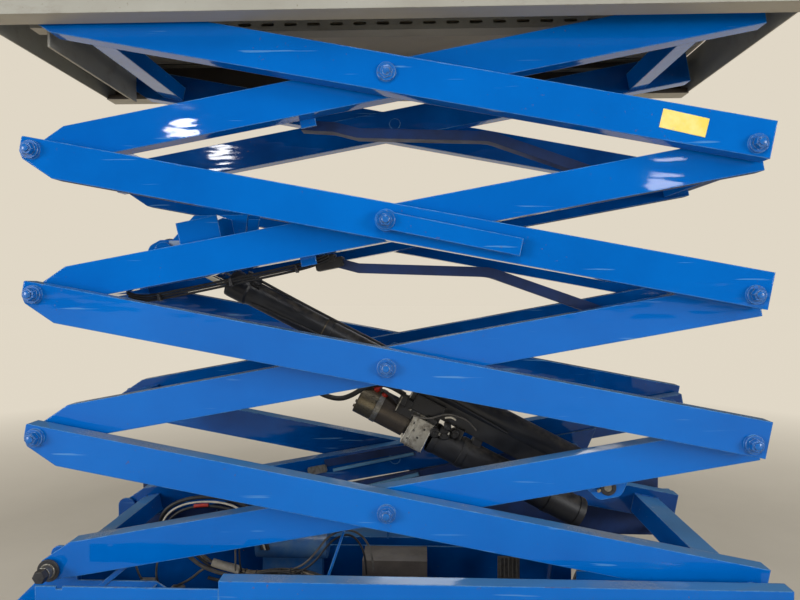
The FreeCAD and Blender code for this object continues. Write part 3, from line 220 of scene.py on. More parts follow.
def gloss(name, dustiness, rustiness):
    # the stack's and the chassis' gloss enamel: dusty on top, rubbed at the edges with a painted
    # edge highlight, painted shade on faces that look in, and a painted sheen on top faces
    look = Finish(name, IOR=1.38)
    colour = look.mix(bluePaint["face"], bluePaint["shade"], look.cloud(1.6, 5, 0.6, 0.35, 0.7))
    # faces that look in at the machine's middle are painted a darker blue: painted shade, as on
    # the shaded far arms
    shadeInward = look.between(look.own("Object", "Y") * look.facing("Y"), -0.12, -0.2)
    stain = shadeInward * look.cloud(3, 4, 0.6, 0.3, 0.7, 0.55, 0.95)
    colour = look.mix(colour, bluePaint["inner"], stain)
    streak = look.cloud(9, 6, 0.65, 0.36, 0.66, 0.35, 1.0, (0.25, 1, 1))
    patch = look.cloud(2.6, 4, 0.6, 0.46, 0.62, 0.06, 1.0)
    grit = 0.45 + look.cloud(260, 3, 0.7, 0.4, 0.62) * 0.55
    dust = look.upward() * streak * dustiness * grit * patch
    edge = look.edges(bluePaint["edgeRadius"])
    rubbed = edge * look.cloud(34, 5, 0.7, 0.4, 0.6, 0.3, 1.0) * 0.8
    chips = look.cloud(75, 4, 0.6, 0.67, 0.7) * look.cloud(4.2, 3, 0.5, 0.52, 0.6)
    rust = (edge * look.cloud(21, 5, 0.7, 0.56, 0.66) + chips * 0.7) * rustiness
    scratch = look.cloud(60, 2, 0.5, 0.7, 0.74, stretch=(0.06, 1, 1.4)) * 0.35
    # top faces are painted a paler blue: a painted sheen of the light falling on them
    colour = look.mix(colour, bluePaint["faded"], look.upward() * 0.7)
    # rubbed edges and scratches turn a paler blue: worn paint, and along the edges partly a
    # painted highlight
    colour = look.mix(colour, bluePaint["worn"], rubbed + scratch)
    colour = look.mix(colour, bluePaint["dust"], dust)
    colour = look.mix(colour, bluePaint["rust"], look.between(rust, 0, 1))
    peel, ripple = look.noise(190, 2, 0.5), look.noise(5, 2, 0.5)
    waves = look.noise(14, 1, 0.4, (0.6, 1, 2.2))
    return look.set(
        Base_Color=colour,
        Roughness=look.between(dust + rubbed + rust + ripple * 0.06, 0.0, 1.2, 0.03, 0.8),
        Normal=look.bump(peel * 0.3 + ripple * 20 + waves * 15, 0.12, 0.0004,
                         look.rounded(bluePaint["edgeRadius"])))


def stackPaint():
    return gloss("stackPaint", 0.9, 0.5)


def chassisPaint():
    return gloss("chassisPaint", 0.8, 0.9)


greyPaint = {"face": (160, 160, 153), "shade": (144, 142, 133), "grime": (108, 100, 84),
             "rubbed": (92, 84, 74), "below": (168, 158, 138),
             "farInside": (52, 46, 40)}


def platformPaint():
    look = Finish("platformPaint", IOR=1.45)
    colour = look.mix(greyPaint["face"], greyPaint["shade"], look.cloud(2.3, 5, 0.6, 0.35, 0.7))
    grime = look.cloud(11, 6, 0.7, 0.53, 0.75, stretch=(0.5, 1, 1)) * 0.5
    spots = look.cloud(120, 3, 0.6, 0.69, 0.72) * 0.6
    colour = look.mix(colour, greyPaint["grime"], grime + spots)
    rub = look.edges(0.004) * look.cloud(40, 4, 0.7, 0.5, 0.64) * 0.6
    colour = look.mix(colour, greyPaint["rubbed"], rub)
    # undersides are painted paler: painted light bounced up from the floor
    colour = look.mix(colour, greyPaint["below"], look.downward() * 0.85)
    # the far side's inner faces are painted dark brown: painted shade
    farShadeMask = look.between(look.facing("Y"), -0.5, -0.9) * look.between(
        look.own("Object", "Y"), 0.2, 0.3)
    colour = look.mix(colour, greyPaint["farInside"], farShadeMask)
    return look.set(Base_Color=colour, Roughness=look.fade(grime + spots, 0.38, 0.75),
                    Normal=look.grain(160, 0.1, 0.0004, 0.003))


def deckMetal():
    # steel sheet with a sanded grip coat
    look = Finish("deckMetal", IOR=1.45)
    foot = look.cloud(3, 5, 0.7, 0.45, 0.7)
    colour = look.mix((70, 70, 70), (104, 102, 97), foot)
    # undersides are painted pale: painted light bounced up from the floor
    colour = look.mix(colour, (205, 194, 176), look.downward())
    return look.set(Base_Color=colour, Roughness=look.fade(foot, 0.9, 0.7),
                    Normal=look.grain(420, 0.7, 0.0012, 0.002, rough=0.8))


def plainPaint(name, face, shade, roughness, dustiness=0.5, scale=14, metal=0.0):
    # a small part's paint, with dust that settled on top and a little unevenness
    look = Finish(name, Metallic=metal, IOR=1.5)
    cloud = look.cloud(scale, 5, 0.6, 0.35, 0.7)
    dust = look.upward(0.3, 0.95) * look.cloud(38, 5, 0.7, 0.4, 0.65) * dustiness
    rub = look.edges(0.003) * look.cloud(60, 4, 0.7, 0.48, 0.62) * 0.5
    colour = look.mix(look.mix(face, shade, cloud), (120, 112, 98), dust + rub * 0.6)
    return look.set(Base_Color=colour,
                    Roughness=look.between(cloud + dust * 2, 0, 3, roughness, roughness + 0.4),
                    Normal=look.grain(220, 0.12, 0.0003, 0.002))


plainPaints = {
    # name: face, shade, roughness, dustiness, scale of the unevenness, metal
    "barrelPaint": ((24, 25, 28), (38, 40, 44), 0.3, 0.55),
    "tankPlastic": ((30, 31, 34), (42, 43, 46), 0.42, 0.5),
    # bridgeSteel is the machine's blue made dark navy: painted shade for a part seen from beneath
    "bridgeSteel": ((12, 46, 98), (8, 32, 72), 0.4, 0.3),
    "axleSteel": ((34, 34, 36), (52, 50, 48), 0.45, 0.5),
    "rimPaint": ((196, 196, 190), (170, 168, 160), 0.38, 0.35),
    "boxPlastic": ((104, 96, 88), (82, 76, 70), 0.5, 0.6),
    "spareTankPaint": ((30, 92, 160), (92, 122, 150), 0.16, 0.9, 7),
    "controlPlastic": ((44, 45, 47), (56, 56, 58), 0.5, 0.3),
    "darkSteel": ((44, 46, 52), (66, 66, 68), 0.38, 0.6, 40, 0.4),
    "hoseRubber": ((24, 24, 26), (36, 36, 38), 0.5, 0.45, 30),
    "loomSleeve": ((142, 130, 110), (112, 102, 86), 0.6, 0.6, 26),
    "redRubber": ((186, 40, 22), (150, 30, 18), 0.42, 0.4, 40),
    "tanPaint": ((170, 156, 124), (140, 128, 100), 0.55, 0.5, 20),
    # the far plates' dark navy is the machine's blue made dark: painted shade
    "shieldPaint": ((8, 44, 96), (6, 30, 68), 0.5, 0.4),
    "ledgePaint": ((96, 146, 180), (64, 116, 160), 0.35, 0.8),
    "blackPaint": ((20, 20, 22), (34, 34, 36), 0.4, 0.35, 30),
    "cableSheath": ((96, 92, 86), (64, 62, 58), 0.55, 0.35, 60),
    "paleTube": ((206, 200, 184), (176, 168, 150), 0.5, 0.4, 30),
    "paleBlock": ((176, 170, 156), (150, 142, 126), 0.55, 0.5, 24),
}


def rodChrome():
    look = Finish("rodChrome", Metallic=1.0)
    drawn = look.cloud(30, 3, 0.5, 0.3, 0.7, 0.08, 0.2, (1, 12, 12))
    film = look.cloud(8, 4, 0.6, 0.45, 0.7)
    return look.set(Base_Color=look.mix((205, 205, 200), (176, 168, 142), film),
                    Roughness=drawn)


def motorPaint():
    look = Finish("motorPaint", IOR=1.5)
    bare = look.cloud(6, 5, 0.6, 0.4, 0.62)
    colour = look.mix((46, 40, 36), (96, 88, 78), bare)
    speck = look.cloud(140, 3, 0.6, 0.64, 0.7)
    return look.set(Base_Color=look.mix(colour, (24, 20, 18), speck),
                    Metallic=look.fade(bare, 0.1, 0.7),
                    Roughness=look.fade(bare, 0.42, 0.3),
                    Normal=look.grain(200, 0.15, 0.0003, 0.002))


def valveMetal():
    look = Finish("valveMetal", IOR=1.5)
    milled = look.noise(90, 2, 0.5, (1, 14, 1))
    stain = look.cloud(24, 5, 0.7, 0.48, 0.66)
    return look.set(Base_Color=look.mix((186, 184, 176), (98, 92, 84), stain),
                    Metallic=look.fade(stain, 0.95, 0.5),
                    Roughness=look.between(milled, 0.3, 0.7, 0.28, 0.5),
                    Normal=look.bump(milled, 0.12, 0.0003, look.rounded(0.0012)))


def tyreRubber():
    # pale non-marking solid rubber, dusty and a little scuffed
    look = Finish("tyreRubber", IOR=1.45)
    cloud = look.cloud(7, 5, 0.65, 0.35, 0.7)
    colour = look.mix((128, 126, 122), (98, 95, 90), cloud)
    scuff = look.cloud(46, 5, 0.7, 0.58, 0.68) * 0.6
    return look.set(Base_Color=look.mix(colour, (60, 58, 55), scuff),
                    Roughness=look.fade(cloud, 0.72, 0.9),
                    Normal=look.grain(180, 0.35, 0.0008, 0.003, 4, 0.7))


def boltPaint():
    # fasteners dipped in the same blue and rubbed bright by spanners
    look = Finish("boltPaint", IOR=1.5)
    bare = look.edges(0.0015, 6) * look.cloud(120, 4, 0.7, 0.36, 0.56) * 0.9
    colour = look.mix((8, 96, 176), (184, 196, 204), bare)
    grime = look.cloud(90, 5, 0.7, 0.55, 0.65) * 0.6
    return look.set(Base_Color=look.mix(colour, (48, 58, 66), grime),
                    Metallic=look.fade(bare, 0.0, 0.8),
                    Roughness=look.between(bare + grime, 0, 1.5, 0.25, 0.5),
                    Normal=look.grain(260, 0.1, 0.0002, 0.0012))


def zincSteel():
    look = Finish("zincSteel", IOR=1.5)
    film = look.cloud(60, 4, 0.6, 0.4, 0.66)
    return look.set(Base_Color=look.mix((160, 158, 150), (104, 98, 88), film),
                    Metallic=look.fade(film, 0.9, 0.55),
                    Roughness=look.fade(film, 0.32, 0.55),
                    Normal=look.grain(240, 0.1, 0.0002, 0.001))


def capSteel():
    # turned steel that has gone yellow-brown under old oil
    look = Finish("capSteel", IOR=1.5)
    film = look.cloud(9, 4, 0.6, 0.38, 0.66)
    return look.set(Base_Color=look.mix((132, 124, 104), (104, 92, 72), film),
                    Metallic=look.fade(film, 0.85, 0.6),
                    Roughness=look.cloud(70, 2, 0.5, 0.3, 0.7, 0.24, 0.42, (1, 8, 8)),
                    Normal=look.grain(240, 0.08, 0.0002, 0.0015))


def weldPaint():
    # beads under the same blue enamel, with dirt caught between the ripples
    look = Finish("weldPaint", IOR=1.3)
    dirt = look.cloud(110, 4, 0.6, 0.46, 0.64)
    return look.set(Base_Color=look.mix((10, 92, 178), (40, 62, 86), dirt),
                    Roughness=look.fade(dirt, 0.3, 0.65),
                    Normal=look.bump(look.noise(300, 2), 0.2, 0.0003))


def labelFilm():
    # a bare yellow label, sun-faded and scuffed
    look = Finish("labelFilm", IOR=1.45)
    fade = look.cloud(14, 5, 0.6, 0.36, 0.66)
    colour = look.mix((232, 208, 92), (240, 226, 150), fade)
    scuff = look.cloud(90, 5, 0.75, 0.6, 0.66) * 0.7
    return look.set(Base_Color=look.mix(colour, (206, 196, 160), scuff),
                    Roughness=look.fade(scuff, 0.35, 0.6))


def paleLabel():
    look = Finish("paleLabel", IOR=1.45)
    fade = look.cloud(30, 4, 0.6, 0.4, 0.65)
    return look.set(Base_Color=look.mix((150, 170, 192), (120, 142, 170), fade),
                    Roughness=look.fade(fade, 0.4, 0.55))


makers = {maker.__name__: maker for maker in (
    stackPaint, chassisPaint, platformPaint, deckMetal, rodChrome, motorPaint, valveMetal,
    tyreRubber, boltPaint, zincSteel, capSteel, weldPaint, labelFilm, paleLabel)}
makers.update({name: partial(plainPaint, name, *values) for name, values in plainPaints.items()})
finishes = {}


def finish(name):
    if name not in finishes:
        finishes[name] = makers[name]()
    return finishes[name]


def slotFinish(slot):
    # a slot's finish has its name: stack_paint wears stackPaint, and so on
    first, *rest = ("tyre_rubber" if slot == "tyre" else slot).split("_")
    return finish(first + "".join(word.title() for word in rest))


def dressNodes():
    slots = {part["node"]: part["material_slot"] for part in frame["record"]["subparts"]}
    for name, part in frame["nodes"].items():
        part.data.materials.clear()
        part.data.materials.append(slotFinish(slots[name]))


# Mesh helpers

def metres(value):
    # the tables of points and corners below are written in millimetres
    return value / 1000 if isinstance(value, (int, float)) else tuple(map(metres, value))


def lathe(mesh, rows, centre, axis, count=32, spin=0.0, frame=rowFrame):
    # an outline of (radius, along) turned about an axis; six sides make a nut
    centre = frame @ Vector(centre)
    axis = (frame.to_3x3() @ Vector(axis)).normalized()
    side = axis.orthogonal().normalized()
    across = axis.cross(side)
    rings = []
    for radius, along in rows:
        middle = centre + axis * along
        if radius <= 1e-6:
            rings.append([mesh.verts.new(middle)])
            continue
        ring = []
        for step in range(count):
            turn = spin + 2 * math.pi * step / count
            ring.append(mesh.verts.new(
                middle + side * math.cos(turn) * radius + across * math.sin(turn) * radius))
        rings.append(ring)
    for low, high in zip(rings, rings[1:]):
        for step in range(count):
            after = (step + 1) % count
            corners = [low[step % len(low)], low[after % len(low)],
                       high[after % len(high)], high[step % len(high)]]
            corners = list(dict.fromkeys(corners))
            if len(corners) > 2:
                mesh.faces.new(corners)


def slab(mesh, low, high, soften=0.0, frame=rowFrame):
    # a box between two corners of a frame, its edges softened
    low, high = Vector(low), Vector(high)
    size = high - low
    made = bmesh.ops.create_cube(mesh, size=1.0)["verts"]
    for vert in made:
        vert.co = frame @ ((low + high) / 2 + Vector(
            (vert.co.x * size.x, vert.co.y * size.y, vert.co.z * size.z)))
    if soften:
        edges = list(dict.fromkeys(edge for vert in made for edge in vert.link_edges))
        bmesh.ops.bevel(mesh, geom=edges, offset=soften, segments=2, affect="EDGES")


def disc(radius, thick, lip=0.0008):
    # the outline of a short round plug with a softened rim
    return [(0, 0), (radius, 0), (radius, thick - lip), (radius - lip, thick), (0, thick)]


def join(made, body):
    bpy.context.collection.objects.link(made)
    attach(made, body)
    return made


def piece(name, build, body, look, smooth=True):
    mesh = bmesh.new()
    build(mesh)
    bmesh.ops.recalc_face_normals(mesh, faces=mesh.faces)
    data = bpy.data.meshes.new(name)
    mesh.to_mesh(data)
    mesh.free()
    data.materials.append(finish(look))
    made = bpy.data.objects.new(name, data)
    if smooth:
        data.shade_smooth()
        made.modifiers.new("sharp", "EDGE_SPLIT").split_angle = math.radians(38)
    return join(made, body)


def slabs(name, corners, soften, body, look, slotName, frame=rowFrame):
    # a piece of plain boxes, each between a low and a high corner
    def build(mesh):
        for low, high in corners:
            slab(mesh, low, high, soften, frame)
    piece(name, build, body, look)


def turning(name, rows, spot, axis, count, body, look, slotName, frame=rowFrame):
    # a piece that is one outline turned about an axis
    piece(name, lambda mesh: lathe(mesh, rows, spot, axis, count, 0, frame), body, look)


def pinEnds(name, outlines, spot, face, count, body, look, spin=0.0):
    # the same turned outlines on both sides of the machine
    def build(mesh):
        for side in (-1, 1):
            for rows in outlines:
                lathe(mesh, rows, (spot.x, side * face, spot.z), (0, side, 0), count, spin)
    piece(name, build, body, look)


def hose(name, points, radius, body, look="hoseRubber", slotName="tank_plastic", frame=rowFrame):
    # a fixed line on one smooth curve
    curve = bpy.data.curves.new(name, "CURVE")
    curve.dimensions = "3D"
    curve.bevel_depth = radius
    curve.bevel_resolution = 4
    curve.resolution_u = 10
    curve.use_fill_caps = True
    spline = curve.splines.new("NURBS")
    spline.points.add(len(points) - 1)
    for spot, point in zip(spline.points, points):
        spot.co = (*(frame @ Vector(point)), 1)
    spline.order_u = 3
    spline.use_endpoint_u = True
    curve.materials.append(finish(look))
    join(bpy.data.objects.new(name, curve), body)


unitLathe, unitSlab, unitSlabs, unitTurning, unitHose = (
    partial(tool, frame=cylinderFrame) for tool in (lathe, slab, slabs, turning, hose))


# Camera, light and floor

photo = {"width": 800, "focal": 593.6, "eye": (0.128, -2.0124, 1.434), "down": 1.42, "left": 2.05}


def addCamera():
    data = bpy.data.cameras.new("photoView")
    data.sensor_width = 36.0
    data.lens = photo["focal"] / photo["width"] * data.sensor_width
    data.clip_start, data.clip_end = 0.05, 80
    camera = bpy.data.objects.new("photoView", data)
    camera.location = photo["eye"]
    camera.rotation_euler = (math.radians(90 - photo["down"]), 0, math.radians(photo["left"]))
    bpy.context.collection.objects.link(camera)
    bpy.context.scene.camera = camera


studio = {"backdrop": (224, 215, 198), "floor": (200, 194, 182),
          "floorShade": (192, 186, 174), "ambient": 0.36,
          "mirrored": -0.4, "floorFade": (2.8, 6.4), "floorReach": 40,
          "lamps": [  # place, aim, width, height, watts
              ((-6.2, -4.6, 2.4), (0, 0, 1.5), 2.8, 2.8, 290),
              ((6.0, -4.6, 2.2), (0, 0, 1.5), 2.4, 2.4, 230),
              ((0.0, -4.8, 6.8), (0, 0, 1.4), 3.4, 3.4, 190),
              ((-2.01, -3.8, 2.84), (-0.6, 0, 1.8), 0.26, 0.14, 4),
              ((2.25, -3.8, 2.37), (0.6, 0, 1.8), 0.3, 0.17, 1.8),
              ((0.8, 4.6, 4.2), (0, 0, 1.8), 3.2, 3.2, 70)]}


def addStudio():
    world = bpy.data.worlds.new("studio")
    bpy.context.scene.world = world
    world.use_nodes = True
    nodes, links = world.node_tree.nodes, world.node_tree.links
    background = nodes["Background"]
    background.inputs["Color"].default_value = (*linear(studio["backdrop"]), 1)
    ray = nodes.new("ShaderNodeLightPath")
    seen = nodes.new("ShaderNodeMath")
    seen.operation = "MULTIPLY_ADD"
    links.new(ray.outputs["Is Glossy Ray"], seen.inputs[0])
    seen.inputs[1].default_value = studio["mirrored"]
    links.new(ray.outputs["Is Camera Ray"], seen.inputs[2])
    level = nodes.new("ShaderNodeMapRange")
    level.clamp = False
    links.new(seen.outputs[0], level.inputs["Value"])
    level.inputs["To Min"].default_value = studio["ambient"]
    level.inputs["To Max"].default_value = 1.0
    links.new(level.outputs["Result"], background.inputs["Strength"])
    for number, (spot, aim, width, height, watts) in enumerate(studio["lamps"]):
        lamp = bpy.data.lights.new(f"softbox{number}", "AREA")
        lamp.shape = "ELLIPSE"
        lamp.size, lamp.size_y, lamp.energy = width, height, watts
        lampObject = bpy.data.objects.new(f"softbox{number}", lamp)
        lampObject.location = spot
        view = Vector(aim) - Vector(spot)
        lampObject.rotation_euler = view.to_track_quat("-Z", "Y").to_euler()
        bpy.context.collection.objects.link(lampObject)
    floorMesh = bpy.data.meshes.new("floor")
    reach = studio["floorReach"]
    floorMesh.from_pydata([(-reach, -reach, 0), (reach, -reach, 0), (reach, reach, 0),
                           (-reach, reach, 0)], [], [(0, 1, 2, 3)])
    floor = bpy.data.objects.new("floor", floorMesh)
    bpy.context.collection.objects.link(floor)
    look = Finish("floorFinish", Roughness=0.8, Specular_IOR_Level=0.1, Emission_Strength=1.0)
    # it turns into the backdrop's own colour with distance, so no horizon shows
    spot = look.node("TexCoord", output="Object")
    away = look.node("VectorMath", {"operation": "LENGTH"}, {0: spot}, output="Value")
    fade = look.between(away, *studio["floorFade"])
    cloud = look.cloud(1.2, 5, 0.6, 0.3, 0.7)
    near = look.mix(studio["floor"], studio["floorShade"], cloud)
    floorMesh.materials.append(look.set(
        Base_Color=look.mix(near, (0, 0, 0), fade),
        Emission_Color=look.mix((0, 0, 0), studio["backdrop"], fade)))
    bpy.context.scene.view_settings.view_transform = "Standard"


# Pivots: a washer, a hex nut and the stud's end on both faces of each outer arm

pivotNut = {"washerRadius": 0.0265, "washerThick": 0.004, "flats": 0.033, "nutHigh": 0.015,
            "studRadius": 0.0105, "studOut": 0.0035, "topThin": 0.24}


def nutAt(mesh, centre, outward, spin=0.0, scale=1.0, thin=1.0, frame=rowFrame):
    size = {name: value * scale for name, value in pivotNut.items()}
    corner = size["flats"] / 2 / math.cos(math.pi / 6)
    washer, high = size["washerThick"] * thin, (size["washerThick"] + size["nutHigh"]) * thin
    stud, out = size["studRadius"], size["studOut"] * thin
    lathe(mesh, disc(size["washerRadius"], washer), centre, outward, 36, 0, frame)
    lathe(mesh, [(corner, washer), (corner, high - 0.003 * scale * thin), (corner * 0.9, high),
                 (stud * 1.1, high)], centre, outward, 6, spin, frame)
    bore, foot, top = stud * 1.1, high - 0.002 * thin, high + out * 1.4
    lathe(mesh, [(bore, high), (bore, foot), (stud, foot), (stud, high + out), (stud * 0.8, top),
                 (0, top)], centre, outward, 20, 0, frame)


def addPivots():
    barFace = -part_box("safety_bar")[0].y
    for stage in range(1, 5):
        for part, along in (("left", 0.0), ("centre", armSpan / 2), ("right", armSpan)):
            if (stage, part) == (1, "right"):
                continue

            def build(mesh):
                for side in (-1, 1):
                    onBar = (side, stage, part) == (-1, 3, "centre")
                    reach = barFace if onBar else outerFace
                    # the platform's sides come down past the top stage's nuts
                    thin = pivotNut["topThin"] if (stage, part) == (4, "centre") else 1.0
                    nutAt(mesh, (along, side * (reach - seat), 0), (0, side, 0),
                          0.4 * stage + along, thin=thin, frame=armFrame("outer", stage))
            piece(f"pivotNut_{part}_{stage}", build, f"outer_{stage}", "boltPaint")


# The stack's lowest fixed pins: a big washer, a sleeve and a hex end on each side

lowestPin = {"faceOut": 0.0072, "washer": (0.034, 0.005), "sleeve": (0.021, 0.024),
             "collar": (0.02352, 0.004), "flats": 0.036, "hexLong": 0.022}


def addLowestPins():
    face = innerFace + lowestPin["faceOut"]
    washer, sleeve, long = lowestPin["washer"], lowestPin["sleeve"], lowestPin["hexLong"]
    corner = lowestPin["flats"] / 2 / math.cos(math.pi / 6)
    pinEnds("lowestPinWashers", [disc(*washer)], leftPin, face, 40, "chassis", "darkSteel")
    pinEnds("lowestPinSleeves", [disc(*sleeve), disc(*lowestPin["collar"])], leftPin,
            face + washer[1], 32, "chassis", "zincSteel")
    hexEnd = [(0, 0), (corner, 0), (corner, long - 0.003), (corner * 0.88, long), (0, long)]
    pinEnds("lowestPinHexes", [hexEnd], leftPin, face + washer[1] + sleeve[1], 6, "chassis",
            "darkSteel", 0.3)


# Plates and stickers, all blank

yellowPlate = {"low": (1.827, -0.009), "high": (1.957, 0.044), "thick": 0.0012, "lean": 0.03,
               "soften": 0.0004, "y": 0.007 - outerFace}
bracketSticker = {"low": (0.32, 0.078), "high": (0.364, 0.108), "thick": 0.0008, "lean": 0.2,
                  "soften": 0.0003, "y": -0.0742}
plateSunk = 0.0004


def turned(frame, low, high, lean):
    # a plate's frame, turned about the middle of the plate
    middle = Vector(((low[0] + high[0]) / 2, 0, (low[1] + high[1]) / 2))
    return (frame @ Matrix.Translation(middle) @ Matrix.Rotation(lean, 4, "Y")
            @ Matrix.Translation(-middle))


def addPlates():
    for name, plate, arm, stage, look in (
            ("yellowPlate", yellowPlate, "outer", 4, "labelFilm"),
            ("bracketSticker", bracketSticker, "inner", 3, "paleLabel")):
        low, high, y = plate["low"], plate["high"], plate["y"]

        def build(mesh):
            slab(mesh, (low[0], y - plate["thick"], low[1]), (high[0], y + plateSunk, high[1]),
                 plate["soften"], turned(armFrame(arm, stage), low, high, plate["lean"]))
        piece(name, build, f"{arm}_{stage}", look, smooth=False)


# The power unit's end cap, boots, brackets, valves and thin cable, in the cylinder's frame

motorTrim = {"axisDrop": 0.145, "radius": 0.0568, "far": 0.7938, "capFrom": 0.732, "sides": 56,
             "bandFrom": 0.713, "bandOut": 0.0016, "screwRing": 0.042}
boots = metres([(757, 84, 12, 26), (724, 90, 10.5, 22)])  # along, drop, radius, long
# along, y and drop, low and high corners
blackBlocks = metres([((608, -52, 70), (668, -18, 128)), ((646, -56, 62), (672, -30, 98)),
                      ((521, -55, 40), (626, -46, 94)), ((526, -60, 88), (560, -44, 104)),
                      ((430, -50, 80), (462, -20, 112))])
# along, drop, radius, long
coils = metres([(516, 128, 17, 44), (486, 118, 20, 40), (455, 102, 16, 36), (488, 90, 12, 50)])
paleBits = metres([((500, -66, 118), (505, -58, 128)), ((474, -66, 102), (478, -58, 112)),
                   ((664, -58.5, 70), (668, -56, 122)), ((620, -56.8, 92), (628, -53, 100)),
                   ((521, -56.2, 39.5), (626, -54.5, 41.5))])
thinCable = metres([(612, -60, 109), (584, -64, 105), (551, -66, 90), (532, -68, 70),
                    (510, -66, 52), (484, -64, 44), (448, -60, 40), (420, -52, 48),
                    (396, -40, 60)])
unitLead = metres([(668, -50, 100), (690, -56, 88), (716, -50, 84), (742, -40, 84)])
whiteArc = metres([(510, -66, 66), (500, -69, 58), (488, -69, 54), (476, -66, 56)])


def addPowerUnit():
    drop, radius, far = motorTrim["axisDrop"], motorTrim["radius"], motorTrim["far"]

    def cap(mesh):
        unitLathe(mesh, [(0, 0), (radius - 0.006, 0), (radius, 0.004),
                         (radius, far - motorTrim["capFrom"])],
                  (far + 0.0012, 0, drop), (-1, 0, 0), motorTrim["sides"])
        for turn in (0.7, 2.3, 3.9, 5.5):
            spot = (far + 0.001, math.cos(turn) * motorTrim["screwRing"],
                    drop + math.sin(turn) * motorTrim["screwRing"])
            unitLathe(mesh, [(0.006, 0), (0.006, 0.005), (0, 0.005)], spot, (1, 0, 0), 6)
    piece("motorCap", cap, "cylinder", "capSteel")

    outer = radius + motorTrim["bandOut"]
    length = motorTrim["capFrom"] - motorTrim["bandFrom"]
    unitTurning("motorBand", [(radius - 0.001, 0), (outer, 0.0008), (outer, length - 0.0008),
                              (radius - 0.001, length)], (motorTrim["bandFrom"], 0, drop),
                (1, 0, 0), motorTrim["sides"], "cylinder", "zincSteel", "motor_paint")

    def rubber(mesh):
        for along, low, size, length in boots:
            unitLathe(mesh, [(0, 0), (size * 0.8, 0), (size, 0.004), (size, length * 0.6),
                             (size * 0.62, length * 0.8), (size * 0.5, length), (0, length)],
                      (along, -0.03, low + 0.012), (-0.55, -0.2, -0.8), 24)
    piece("terminalBoots", rubber, "cylinder", "redRubber")

    def blocks(mesh):
        for low, high in blackBlocks:
            unitSlab(mesh, low, high, 0.0025)
        for along, low, size, length in coils:
            unitLathe(mesh, [(0, 0), (size - 0.002, 0), (size, 0.002), (size, length - 0.004),
                             (size - 0.004, length), (0.006, length), (0.006, length + 0.006),
                             (0, length + 0.006)], (along, -0.02, low), (0, -1, 0), 28)
    piece("unitBrackets", blocks, "cylinder", "blackPaint")
    unitSlabs("unitPaleBits", paleBits, 0.0006, "cylinder", "zincSteel", "valve_metal")
    unitHose("unitCable", thinCable, 0.0028, "cylinder", "cableSheath")
    unitHose("unitLead", unitLead, 0.0045, "cylinder")
    unitHose("whiteArc", whiteArc, 0.0032, "cylinder", "paleTube")


# The valve block's two machined faces, with the groove between them

valveFace = {"from": 0.6038 - 0.076, "to": 0.6038, "drops": (0.108, 0.211), "side": 0.045,
             "proud": 0.003, "groove": 0.004, "split": 0.26, "edge": 0.0015, "inset": 0.001}
# shares of the face's length and height
valveHoles = [(0.3, 0.28), (0.42, 0.62), (0.7, 0.46), (0.82, 0.24), (0.8, 0.78)]


def addValveFace():
    start, end, (top, bottom) = valveFace["from"], valveFace["to"], valveFace["drops"]
    cutAt = end - (end - start) * valveFace["split"]
    gap, inset = valveFace["groove"] / 2, valveFace["inset"]
    outer = valveFace["side"] + valveFace["proud"]

    def faces(mesh):
        for side in (-1, 1):
            near, far = sorted((side * (valveFace["side"] - 0.0005), side * outer))
            for low, high in ((start, cutAt - gap), (cutAt + gap, end)):
                unitSlab(mesh, (low + inset, near, top + inset),
                         (high - inset, far, bottom - inset), valveFace["edge"])
        unitSlab(mesh, (start + 0.006, -0.03, bottom - inset), (end - 0.02, 0.03, bottom + 0.005),
                 0.002)
    piece("valveFaces", faces, "cylinder", "valveMetal")

    def holes(mesh):
        for along, low in valveHoles:
            spot = (start + (end - start) * along, -outer - seat, top + (bottom - top) * low)
            unitLathe(mesh, [(0, 0.0004), (0.0032, 0.0004), (0.0038, 0)], spot, (0, -1, 0), 16)
    piece("valveHoles", holes, "cylinder", "blackPaint")


# The barrel's rounded gland, port blocks, side pipe and clamp ring, and the reservoir's bands

barrelTrim = {"far": 1.3637, "radius": 0.043, "gland": 0.048, "sides": 56, "clampAt": 0.992,
              "clampWide": 0.012, "pipeRadius": 0.0048, "pipeY": -0.02, "lineRadius": 0.003}
glandPorts = metres([(52, -12, -50, 13), (88, -20, -44, 16)])  # back, y, rise, size
tankBands = {"along": (-0.046, 0.06, 0.39, 0.496), "drop": 0.156, "endAt": 0.5095, "sides": 48}
# back from the barrel's far end, rise
pipeStart = metres([(88, -52), (120, -51.5), (180, -49.5), (360, -47.5)])
pipeEnd = metres([(820, -20, -47.5), (700, -20, -47.5), (640, -30, -46), (600, -44, -30),
                  (570, -52, -4)])
barrelLine = metres([(1262, -36, 30), (1242, -38, 28), (1200, -39, 24), (1150, -40, 22),
                     (1060, -42.5, 18), (950, -43.5, 14), (800, -45, 10), (600, -46, 8),
                     (420, -46, 12), (300, -44, 20)])
returnHose = metres([(660, -30, 66), (700, -35, 60), (745, -40, 66), (775, -42, 85),
                     (796, -44, 110), (820, -46, 150), (850, -46, 178), (900, -46, 190),
                     (945, -46, 186), (985, -44, 160), (1015, -42, 120), (1030, -38, 70),
                     (1036, -34, 30)])


